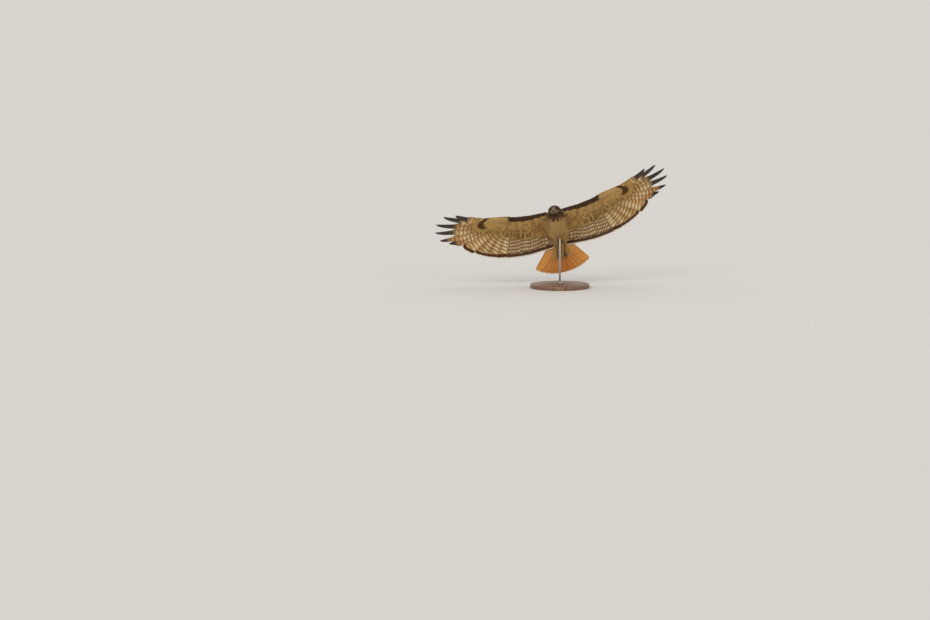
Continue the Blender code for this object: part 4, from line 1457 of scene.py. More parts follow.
@dataclass
class TailCoverts(Assembly):
    """The coverts over or under the root of the tail, which close the step from the body to the tail."""

    fan: TailFan
    face: Face
    # Distance of each tier's tips from a point ahead of the tail's root
    reaches: tuple = (0.172, 0.158, 0.144, 0.130, 0.116, 0.102, 0.088, 0.074)
    ahead: float = 0.050
    long: float = 0.056
    web: float = 0.0080

    def above(self, out: Array, back: Array, t: Array) -> Array:
        """The height over the tail's plane, high on the rump and low over the feathers.

        Args:
            out: Distance out from the midline.
            back: Distance back from the tail's root.
            t: Share of the way along the feather.

        Returns:
            The heights.
        """
        over = (0.0240, 0.0205, 0.0130, 0.0078, 0.0050, 0.0034)
        under = (0.0300, 0.0270, 0.0175, 0.0108, 0.0075, 0.0048)
        heights = over if self.face is Face.ABOVE else under
        tall = np.interp(back, (0.0, 0.025, 0.055, 0.076, 0.100, 0.125), heights)
        wide = np.interp(back, (0.0, 0.025, 0.055, 0.080, 0.125), (0.043, 0.040, 0.034, 0.034, 0.050))
        crown = np.maximum(0, 1 - (out / wide) ** 2) ** 0.6
        return self.face.value * (0.0028 + (tall - 0.0028) * crown + 0.0030 * t)

    def build(self) -> None:
        """Builds the coverts of one face as one piece."""
        over = self.face is Face.ABOVE
        rng = np.random.default_rng(61 + self.face.value)
        tips, ways = [], []
        for tier, reach in enumerate(self.reaches):
            half = math.radians(23.0 if over else 14.5) * (1 - 0.03 * tier)
            count = int(2 * half * reach / 0.0105) + 1 + tier % 2
            angle = np.linspace(-half, half, count) + rng.normal(0, 0.012, count)
            way = stacked(np.sin(angle), np.cos(angle))
            tips.append(way * (reach + rng.normal(0, 0.0025, (count, 1))) - (0, self.ahead))
            ways.append(way)
        tip, way = np.concatenate(tips), np.concatenate(ways)
        size = 1 + 0.08 * rng.standard_normal(len(tip))
        web = self.web * size
        vanes = Vanes(
            tip - way * (self.long * size)[:, None], tip, web, web, bow=0.0, tilt=0.0, full_from=0.5,
            tip_from=0.55, stations=16, seed=62, **COVERT_FORM,
        )
        points, lie, t, plan = vanes.shape(self.fan.place, self.above)
        noise = each(rng.random(len(tip)), t)
        if over:
            ground = mixed("6E4A2D", "9C774C", step(0.45, 0.95, noise))
            ground = mixed(self.plumage.back, ground, step(0.0, 0.05, plan[..., 1]))
        else:
            ground = mixed(self.plumage.undertail, "B99058", step(0.3, 0.9, noise))
        self.feathers(
            f"tail_{'upper' if over else 'under'}_coverts", self.paints.coverts, "tail_plumage", points, lie,
            painted(ground, 0.35), painted("4A2E18", 0.0), stacked(0.35 * over, NO_BAND, 0.2 * (noise > 0.6)),
        )


@dataclass
class Bridge(Assembly):
    """The long feathers between body and wing: scapulars above and axillaries below."""

    form: WingForm
    face: Face
    fillet: float = 0.022
    long: float = 0.050
    web: float = 0.0086
    splay: float = 7.0

    @property
    def layout(self) -> tuple[tuple, int]:
        """How far out each line of feathers ends at the shoulder, and how many feathers it has.

        Returns:
            The distances, and the number.
        """
        if self.face is Face.ABOVE:
            return (0.036, 0.045, 0.054, 0.063, 0.072, 0.081), 9
        return (0.057, 0.066, 0.075, 0.084), 7

    def level(self, out: Array, back: Array) -> Array:
        """The outermost of body and wing on this face, with a fillet where they meet.

        Args:
            out: Distance out from the midline.
            back: Distance back from the shoulder line.

        Returns:
            The heights.
        """
        way = self.face.value
        centre, wide, tall = body_at(back)
        over = 1 - (out / wide) ** 2
        body = way * centre + tall * np.sign(over) * np.sqrt(np.abs(over))
        flesh = self.form.cover(self.face, out, back)
        wing = way * self.form.place(out, back, way * (flesh + 0.0004))[..., 2]
        near = np.maximum(self.fillet - np.abs(body - wing), 0) / self.fillet
        return np.maximum(body, wing) + 0.25 * self.fillet * near**2

    def build(self) -> None:
        """Builds one side's feathers as one piece."""
        over = self.face is Face.ABOVE
        side = self.form.side
        columns, count = self.layout
        rng = np.random.default_rng(71 + self.face.value + 2 * side.value)
        column, row = np.meshgrid(columns, np.arange(count), indexing="ij")
        # The fold right under the shoulder is too tight for the innermost axillaries
        kept = over | (column > columns[0]) | (row > 1)
        column, row = column[kept], row[kept]
        back = 0.020 + 0.0160 * (row + 0.5 * (np.searchsorted(columns, column) % 2))
        tip = stacked(column + 0.10 * back, back) + rng.normal(0, 0.0016, (len(row), 2))
        angle = np.radians(self.splay + 60 * (column - 0.03)) + rng.normal(0, 0.05, len(row))
        size = (1 + 0.07 * rng.standard_normal(len(row))) * np.clip(back / 0.060, 0.5, 1.0)
        root = tip - stacked(np.sin(angle), np.cos(angle)) * (self.long * size)[:, None]
        web = self.web * size
        vanes = Vanes(
            root, tip, web, web, bow=0.0, tilt=0.02, full_from=0.45, tip_from=0.60, stations=16, seed=72,
            **COVERT_FORM,
        )
        # The first axillaries have none ahead of them, so their roots dip into the fold under the shoulder
        dip = np.where(row < 2, 0.008, np.where(column < 0.060, 0.014, 0.003)) * (not over)
        dip = dip[:, None, None]
        points, lie, t, plan = vanes.shape(
            lambda out, back, above: stacked(side.value * out, back, above),
            lambda out, back, t: self.face.value
            * (self.level(out, back) - 0.0006 + 0.0030 * t - dip * (1 - t) ** 3),
        )
        noise = each(rng.random(len(tip)), t)
        if over:
            ground = mixed(self.plumage.back, self.plumage.back_pale, 0.45 * step(0.60, 0.85, noise))
            kind, ink, bars, fringe = "scapulars", "2B1F16", 0.25, 0.5
        else:
            ground, _ = self.plumage.wing(self.face, np.maximum(plan[..., 0], 0.06), plan[..., 1], noise)
            ground = mixed("9C7440", ground, step(0.050, 0.085, plan[..., 0]))
            kind, ink, bars, fringe = "axillaries", "553616", 0.45, 0.2
        self.feathers(
            f"wing_{side.label}_{kind}", self.paints.coverts, "wing_plumage", points, lie,
            painted(ground, fringe), painted(ink, 0.0),
            stacked(bars * step(0.3, 0.5, t), NO_BAND, 0.3 * (noise > 0.4)),
        )


@dataclass
class Alula(Assembly):
    """The three stiff feathers of the thumb, which lie along the front edge past the wrist."""

    form: WingForm
    roots: tuple = ((0.254, -0.023), (0.256, -0.017), (0.258, -0.011))
    tips: tuple = ((0.322, -0.0375), (0.309, -0.0280), (0.296, -0.0185))
    webs: tuple = (0.0050, 0.0058, 0.0062)

    def build(self) -> None:
        """Builds one side's alula, which lies on top of the coverts there."""
        web = np.array(self.webs)
        vanes = Vanes(
            np.array(self.roots), np.array(self.tips), web, 1.2 * web, bow=0.0, tilt=0.05, quill_end=0.0,
            full_from=0.3, tip_from=0.65, stations=20, rib=0.0004, seed=81,
        )
        layer = 0.0006 * np.arange(3)[:, None, None]
        points, lie, t, _ = vanes.shape(
            self.form.place,
            lambda out, back, t: self.form.cover(Face.ABOVE, out, back) + 0.0016 + 0.0006 * t - layer,
        )
        ground = mixed("3E2E21", "AE8A54", lower_side(t.shape))
        self.feathers(
            f"wing_{self.form.side.label}_alula", self.paints.flight, "wing_plumage", points, lie,
            painted(ground, 0.5), painted(0.5 * ground, 0.0), stacked(0.3, NO_BAND, 0 * t),
        )


def swept(path: Array, half: Array, sides: int, up: tuple, squash: float = 1.0) -> tuple:
    """Rings of a tube along a path, with a body for each row of the arrays.

    Args:
        path: Centre lines as (body, station, xyz).
        half: Half widths as (body, station).
        sides: How many points each ring has.
        up: A direction that the rings are turned to.
        squash: Height over width.

    Returns:
        The ring points, and the outward directions at them.
    """
    ahead = unit(np.gradient(path, axis=1))
    across = unit(np.cross(ahead, np.array(up, float)))
    over = np.cross(across, ahead)
    angle = (np.arange(sides) + 0.5) * math.tau / sides
    out = across[:, :, None] * np.cos(angle)[:, None] + over[:, :, None] * (squash * np.sin(angle))[:, None]
    return path[:, :, None] + out * half[:, :, None, None], out


@dataclass
class BodySkin(Assembly):
    """One skin over head, neck, torso, legs and wing arms, inside the solids by the coat's depth."""

    depth: float = 0.0032
    head_depth: float = 0.0016
    voxel: float = 0.0016

    def mass(self, mapping: Callable, segments: int, rings: int) -> Piece:
        """Adds a sphere and shapes it by a mapping of its points.

        Args:
            mapping: Takes the ball's points and gives the shape's.
            segments: Faces round the sphere.
            rings: Faces from pole to pole.

        Returns:
            The shaped object.
        """
        obj = primitive(bpy.ops.mesh.primitive_uv_sphere_add, segments=segments, ring_count=rings, radius=1.0)
        set_points(obj, mapping(points_of(obj)))
        return obj

    def torso(self, ball: Array) -> Array:
        """Maps a unit ball to the torso and neck.

        Args:
            ball: Points of the ball.

        Returns:
            Points in the bird's frame.
        """
        y = np.interp(ball[:, 2], (-1, 1), (BODY_STATIONS[0, 0], BODY_STATIONS[-1, 0]))
        centre, wide, tall = body_at(y)
        closing = np.sqrt(np.maximum(0, 1 - np.abs(ball[:, 2]) ** 14))
        angle = np.arctan2(ball[:, 1], ball[:, 0])
        x = np.maximum(wide - self.depth, 0.002) * closing * np.cos(angle)
        return stacked(x, y, centre + np.maximum(tall - self.depth, 0.002) * closing * np.sin(angle))

    def head(self, ball: Array) -> Array:
        """Maps a unit ball to the head: a flat crown, brows, full cheeks and a face that narrows.

        Args:
            ball: Points of the ball.

        Returns:
            Points in the bird's frame.
        """
        x, y, z = ball[:, 0], -ball[:, 2], ball[:, 1]
        forward = np.maximum(0, -y)
        half = np.array(HEAD_HALF) - self.head_depth
        narrow = 1 - 0.30 * forward**2
        lower = 1 - 0.22 * forward**2
        points = stacked(half[0] * x * narrow, half[1] * y, half[2] * z * lower - 0.003 * forward**2)
        for side in Side:
            eye = on_side(EYE_AT, side)
            pushes = (
                (eye + (side.value * 0.002, -0.001, 0.011), 0.014, (side.value * 0.0026, -0.0012, 0.0004)),
                (eye + (side.value * 0.005, -0.004, -0.001), 0.0100, (-side.value * 0.0012, 0.0009, 0)),
                (eye + (0, 0.010, -0.014), 0.019, (side.value * 0.0024, 0, -0.0005)),
            )
            for centre, reach, shift in pushes:
                away = np.minimum(np.linalg.norm(points - centre, axis=1) / reach, 1)
                points = points + ((1 - away**2) ** 2)[:, None] * np.array(shift)
        return moved(HEAD, points)

    def ledge(self, ball: Array, side: Side) -> Array:
        """Maps a unit ball to the brow's ledge, which overhangs the eye.

        Args:
            ball: Points of the ball.
            side: Which brow.

        Returns:
            Points in the bird's frame.
        """
        share = 0.5 + 0.5 * ball[:, 2]
        turn = np.interp(share, (0, 1), (-1.25, 0.80))
        x, y, z = np.array(EYE_AT)
        x, y, z = x + 0.0060 - 0.0036 * turn**2, y + 0.0105 * turn - 0.002, z + 0.0076 - 0.0026 * turn**2
        line = stacked(x, y, z)
        line[:, 0] += -0.0032 * np.maximum(0, -turn)
        thick = np.sqrt(np.maximum(0, 1 - ball[:, 2] ** 2)) * 0.0021
        angle = np.arctan2(ball[:, 1], ball[:, 0])
        line[:, 0] += thick * np.cos(angle) * 1.3
        line[:, 2] += thick * np.sin(angle)
        return moved(HEAD, line * (side.value, 1, 1))

    def leg(self, ball: Array, side: Side) -> Array:
        """Maps a unit ball to the feathered thigh and shin.

        Args:
            ball: Points of the ball.
            side: Which leg.

        Returns:
            Points in the bird's frame.
        """
        share = 0.5 + 0.5 * ball[:, 2]
        taper = np.interp(share, (0, 0.2, 0.45, 0.7, 0.88, 1.0), (0.80, 1.0, 0.95, 0.72, 0.52, 0.36))
        half = THIGH_HALF * taper
        half = np.maximum(half - self.depth, 0.0035) * np.sqrt(np.maximum(0, 1 - np.abs(ball[:, 2]) ** 16))
        line = np.array(THIGH_TOP) + share[:, None] * (np.array(ANKLE) - np.array(THIGH_TOP))
        angle = np.arctan2(ball[:, 1], ball[:, 0])
        line[:, 0] += half * np.cos(angle)
        line[:, 2] += half * np.sin(angle)
        return line * (side.value, 1, 1)

    def arm(self, ball: Array, form: WingForm) -> Array:
        """Maps a unit ball to the arm and hand inside the coverts.

        Args:
            ball: Points of the ball.
            form: The wing it belongs to.

        Returns:
            Points in the bird's frame.
        """
        out = np.interp(ball[:, 2], (-1, 1), (0.026, 0.378))
        front = front_of(out) + 0.0012
        end = form.arm_end(out)
        angle = np.arctan2(ball[:, 1], ball[:, 0])
        back = front + (end - front) * (0.5 - 0.5 * np.cos(angle))
        closing = np.sqrt(np.maximum(0, 1 - np.abs(ball[:, 2]) ** 20))
        upper, lower = (form.flesh(face, out, back) - 0.0014 for face in Face)
        high = np.abs(np.sin(angle)) ** 0.35 * closing
        return form.place(out, back, np.where(angle > 0, upper, -lower) * high)

    def build(self) -> Piece:
        """Joins the masses, closes them in one skin and smooths it, all in the bird's frame.

        Returns:
            The skin.
        """
        masses = [self.mass(self.torso, 48, 72), self.mass(self.head, 64, 48)]
        for side in Side:
            form = WingForm(side)
            masses.append(self.mass(lambda ball, side=side: self.leg(ball, side), 28, 28))
            masses.append(self.mass(lambda ball, form=form: self.arm(ball, form), 40, 90))
            masses.append(self.mass(lambda ball, side=side: self.ledge(ball, side), 16, 18))
            rim = primitive(
                bpy.ops.mesh.primitive_torus_add, major_segments=36, minor_segments=14, major_radius=0.0080,
                minor_radius=0.0019,
            )
            upright = points_of(rim) @ np.array(Matrix.Rotation(math.pi / 2, 3, "X"))
            set_points(rim, moved(HEAD @ eye_place(side), upright + (0, -0.0032, 0)))
            masses.append(rim)
        bpy.ops.object.select_all(action="DESELECT")
        for mass in masses:
            mass.select_set(True)
        bpy.context.view_layer.objects.active = masses[0]
        bpy.ops.object.join()
        skin = bpy.context.object
        skin.data.remesh_voxel_size = self.voxel
        bpy.ops.object.voxel_remesh()
        apply_modifier(skin, "SMOOTH", factor=0.5, iterations=4)
        return skin

    def finish(self, skin: Piece) -> None:
        """Colours the skin, turns it into its attitude and lets it stand for the solids of flesh.

        Args:
            skin: The skin in the bird's frame.
        """
        points = points_of(skin)
        colour, _, _ = self.plumage.body(points, np.full(len(points), 0.5))
        out, back = np.abs(points[:, 0]), points[:, 1]
        middle = [WingForm(side).place(out, back, 0 * out)[:, 2] for side in (Side.LEFT, Side.RIGHT)]
        above = points[:, 2] - np.where(points[:, 0] * Side.LEFT.value > 0, *middle)
        # The wing's skin is brown on top and pale below; painted highlight: its top stays pale for the first
        # 4 to 12 mm behind the front edge, for the light along that edge
        above = step(0.0005, 0.0035, above) * step(0.004, 0.012, back - front_of(out))
        colour = mixed(colour, mixed("A8824A", "4A3726", above), step(0.058, 0.068, out))
        flat = np.ones((len(points), 3))
        add_attribute(skin.data, "tint", "FLOAT_COLOR", "color", painted(0.8 * colour, 0.0))
        add_attribute(skin.data, "shade", "FLOAT_COLOR", "color", painted(0.5 * colour, 0.0))
        add_attribute(skin.data, "lie", "FLOAT_VECTOR", "vector", flat * (50, 50, 0.6))
        add_attribute(skin.data, "marks", "FLOAT_VECTOR", "vector", flat * (0, NO_BAND, 0))
        set_points(skin, moved(ATTITUDE, points))
        made = dress(skin, "body_skin", self.paints.coat, 60)
        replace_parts(made, "torso", "neck", "head", "leg_left", "leg_right")


@dataclass
class TuftKind:
    """Sizes of one tract's tufts, in metres."""

    tract: Tract
    spacing: float
    length: float
    half: float
    lift: float


@dataclass
class Coat(Assembly):
    """The small contour feathers, as thin closed vanes that follow the lie over the skin."""

    kinds: tuple = (
        TuftKind(Tract.HEAD, 0.0017, 0.0085, 0.0012, 0.0009),
        TuftKind(Tract.NECK, 0.0033, 0.0160, 0.0034, 0.0024),
        TuftKind(Tract.TORSO, 0.0056, 0.0270, 0.0074, 0.0034),
        TuftKind(Tract.LEG, 0.0046, 0.0190, 0.0046, 0.0028),
    )
    # Stations along a tuft, as shares of its length, and its width at each
    stations: tuple = (0.0, 0.25, 0.50, 0.71, 0.86, 0.95, 1.0)
    widths: tuple = (0.30, 0.82, 1.0, 0.96, 0.78, 0.50, 0.12)

    def tract_of(self, points: Array) -> Array:
        """The tract of each place: 0 head, 1 neck, 2 torso, 3 leg, and -1 where no tuft grows.

        Args:
            points: Places on the skin.

        Returns:
            One number for each place.
        """
        head = head_local(points)
        ball = np.linalg.norm(head / np.array(HEAD_HALF), axis=1)
        found = np.where(points[:, 1] < 0.012, 1, 2)
        found[(ball < 1.22) & (points[:, 1] < 0.0)] = 0
        for side in Side:
            top, ankle = (on_side(p, side) for p in (THIGH_TOP, ANKLE))
            share = np.clip((points - top) @ (ankle - top) / ((ankle - top) @ (ankle - top)), 0, 1)
            near = np.linalg.norm(points - (top + share[:, None] * (ankle - top)), axis=1)
            found[(near < 0.0235) & (points[:, 2] < -0.035) & (share > 0.1)] = 3
        found[np.abs(points[:, 0]) > 0.074] = -1
        mouth = (head[:, 1] < -0.0265) & (np.abs(head[:, 0]) < 0.0100)
        mouth &= (head[:, 2] < 0.0088) & (head[:, 2] > -0.0145)
        found[mouth] = -1
        for side in Side:
            eye = on_side(EYE_AT, side)
            found[np.linalg.norm(head - eye, axis=1) < 0.0086] = -1
        return found

    def lie_of(self, points: Array, tract: int) -> Array:
        """The direction in which the coat lies, before it is laid on the skin.

        Args:
            points: Places on the skin.
            tract: The number of their tract.

        Returns:
            One direction for each place.
        """
        back = np.broadcast_to(np.array([0.0, 1.0, 0.0]), points.shape).copy()
        if tract == 3:
            for side in Side:
                way = on_side(ANKLE, side) - on_side(THIGH_TOP, side)
                back[points[:, 0] * side.value > 0] = way
            return unit(back)
        head = head_local(points)
        radial = unit(head - np.array([0, -0.036, -0.002]))
        radial = radial @ np.array(HEAD)[:3, :3].T
        ball = np.linalg.norm(head / np.array(HEAD_HALF), axis=1)
        share = step(1.9, 1.0, ball)[:, None]
        return unit(radial * share + back * (1 - share))

    @staticmethod
    def spread(points: Array, spacing: float, rng: np.random.Generator) -> Array:
        """Picks points that keep a spacing from one another.

        Args:
            points: The candidates.
            spacing: The least distance.
            rng: The random numbers.

        Returns:
            The numbers of the picked points.
        """
        cells: dict[tuple, list] = {}
        picked = []
        near = [(a, b, c) for a in (-1, 0, 1) for b in (-1, 0, 1) for c in (-1, 0, 1)]
        keys = np.floor(points / spacing).astype(int)
        rows = points.tolist()
        limit = spacing * spacing
        for k in rng.permutation(len(points)).tolist():
            a, b, c = keys[k].tolist()
            x, y, z = rows[k]
            clear = True
            for i, j, l in near:
                for p, q, r in cells.get((a + i, b + j, c + l), ()):
                    if (p - x) ** 2 + (q - y) ** 2 + (r - z) ** 2 < limit:
                        clear = False
                        break
                if not clear:
                    break
            if clear:
                cells.setdefault((a, b, c), []).append((x, y, z))
                picked.append(k)
        return np.array(picked)

    def build(self, skin: Piece) -> None:
        """Builds the coat, one piece for each tract.

        Args:
            skin: The skin in the bird's frame.
        """
        rng = np.random.default_rng(51)
        points = points_of(skin)
        skin.data.calc_loop_triangles()
        triangles = np.zeros(len(skin.data.loop_triangles) * 3, np.int32)
        skin.data.loop_triangles.foreach_get("vertices", triangles)
        triangles = triangles.reshape(-1, 3)
        tree = BVHTree.FromPolygons(points.tolist(), triangles.tolist())
        a, b, c = (points[triangles[:, k]] for k in range(3))
        weights = rng.random((3, len(triangles), 3))
        weights /= weights.sum(-1, keepdims=True)
        trial = np.concatenate([a * w[:, :1] + b * w[:, 1:2] + c * w[:, 2:] for w in weights])
        tracts = self.tract_of(trial)
        for number, kind in enumerate(self.kinds):
            own = trial[tracts == number]
            self.tufts(kind, number, own[self.spread(own, kind.spacing, rng)], tree, rng)

    def tufts(
        self, kind: TuftKind, number: int, roots: Array, tree: BVHTree, rng: np.random.Generator
    ) -> None:
        """Builds the tufts of one tract.

        Args:
            kind: The tract's sizes.
            number: The tract's number.
            roots: The tufts' roots on the skin.
            tree: The skin, for finding its nearest point.
            rng: The random numbers.
        """
        count = len(roots)
        head = head_local(roots)
        eye = np.minimum(*(np.linalg.norm(head - on_side(EYE_AT, s), axis=1) for s in Side))
        bill = np.linalg.norm(head - np.array([0, -0.036, -0.003]), axis=1)
        size = 1 + 0.10 * rng.standard_normal(count)
        length = kind.length * size
        if kind.tract is Tract.HEAD:
            length *= np.clip(0.42 + 0.58 * (bill - 0.010) / 0.018, 0.42, 1.0)
            length *= np.clip(0.42 + 0.58 * (eye - 0.0090) / 0.007, 0.42, 1.0)
            length *= 1 + 0.7 * step(0.010, 0.034, head[:, 1])
        if kind.tract is Tract.TORSO:
            length *= 1 + 0.30 * step(-0.02, 0.03, roots[:, 2]) * step(0.0, 0.08, roots[:, 1])
        half = kind.half * size * np.clip(length / kind.length, 0.55, 1.15)
        shares = np.array(self.stations)
        way = self.lie_of(roots, number) + 0.10 * rng.standard_normal((count, 3))
        at = roots.copy()
        path, normals, ways = [], [], []
        before = 0.0
        for share in shares:
            at = at + way * (length * (share - before))[:, None]
            before = share
            found = [tree.find_nearest(Vector(p)) for p in at]
            at = np.array([f[0] for f in found])
            normal = np.array([f[1] for f in found])
            flow = self.lie_of(at, number)
            way = 0.6 * unit(way) + 0.4 * flow
            way = unit(way - normal * np.sum(way * normal, 1, keepdims=True))
            path.append(at)
            normals.append(normal)
            ways.append(way)
        path, normals, ways = (np.stack(v, 1) for v in (path, normals, ways))
        normals = unit(normals + 0.6 * np.roll(normals, 1, 1) * (shares > 0)[None, :, None])
        lift = -0.0006 + kind.lift * (shares**0.8)[None] * size[:, None]
        lift = lift + 0.15 * kind.lift * rng.random((count, 1)) * shares
        centre = path + normals * lift[..., None]
        across = unit(np.cross(ways, normals))
        wide = (half[:, None] * np.array(self.widths))[..., None]
        bulge = 0.20 * wide * (1 - 0.3 * shares[None, :, None])
        thick = 0.00028 + 0.05 * wide
        ring = np.stack(
            [
                centre + across * wide - normals * bulge, centre + normals * thick,
                centre - across * wide - normals * bulge, centre - normals * thick * 0.6,
            ],
            2,
        )
        clear = np.ones(count, bool)
        if kind.tract is Tract.HEAD:
            for side in Side:
                away = np.linalg.norm(ring - moved(HEAD, on_side(EYE_AT, side)), axis=-1)
                clear &= away.min((1, 2)) > EYE_RADIUS + 0.0002
        if kind.tract is Tract.TORSO:
            # None strays onto the wing, where the skin turns over from its upper to its lower side
            clear &= np.abs(ring[..., 0]).max((1, 2)) < 0.078
        noise = rng.random(count)
        colour, fringe, streak = self.plumage.body(roots, noise)
        tint = colour[:, None, None] * (0.80 + 0.28 * shares[None, :, None, None])
        tint = tint * (0.92 + 0.16 * noise[:, None, None, None])
        ink = 0.35 * colour[:, None, None] + 0.1 * toned(self.plumage.ink)
        from_tip = 1000 * length[:, None] * (1 - shares)
        sideways = np.array([1.0, 0.0, -1.0, 0.0])
        lie = stacked(from_tip[:, :, None], 1000 * wide * sideways, sideways)
        alpha = each(np.broadcast_to(fringe, count), ring[..., 0])
        marks = stacked(0.0, NO_BAND, each(np.broadcast_to(streak, count), ring[..., 0]))
        tint, shade = painted(tint, alpha), painted(ink, 0 * alpha)
        body = Bodies(
            ring[clear], {"tint": tint[clear], "shade": shade[clear]},
            {"lie": lie[clear], "marks": marks[clear]}, self.unwrapped(kind.tract, roots)[clear],
        )
        slot = "head_plumage" if kind.tract is Tract.HEAD else "body_plumage"
        body.make(f"coat_{kind.tract.value}", self.paints.coat, slot)

    @staticmethod
    def unwrapped(tract: Tract, roots: Array) -> Array:
        """Where each root lies on an unwrap of the skin: round it and along it.

        Args:
            tract: The tufts' tract.
            roots: The tufts' roots.

        Returns:
            Places from 0 to 1 in both directions.
        """
        if tract is Tract.HEAD:
            local = head_local(roots)
            round_it = np.arctan2(local[:, 2], local[:, 0])
            along = np.arccos(np.clip(-local[:, 1] / np.linalg.norm(local, axis=1), -1, 1)) / math.pi
        else:
            centre = body_at(roots[:, 1])[0]
            if tract is Tract.LEG:
                side = np.sign(roots[:, 0])
                angle = np.arctan2(roots[:, 2] + 0.046, roots[:, 0] - side * 0.028)
                round_it = math.pi * (-0.5 + 0.5 * side) + (angle + math.pi) * 0.49
                along = np.interp(roots[:, 1], (0.03, 0.17), (0, 1))
            else:
                round_it = np.arctan2(roots[:, 2] - centre, roots[:, 0])
                along = np.interp(roots[:, 1], (-0.07, 0.23), (0, 1))
        spots = stacked((round_it + math.pi) / math.tau, along)
        return 0.005 + 0.985 * np.clip(spots, 0, 1)


def eye_place(side: Side) -> Matrix:
    """Places one eye in the head's frame, looking out and forwards along its own -Y.

    Args:
        side: Which eye.

    Returns:
        The eye's matrix in the head's frame.
    """
    x, y, z = EYE_AT
    turn = Matrix.Rotation(side.value * math.radians(90 - EYE_FORWARD), 4, "Z")
    return Matrix.Translation((side.value * x, y, z)) @ turn


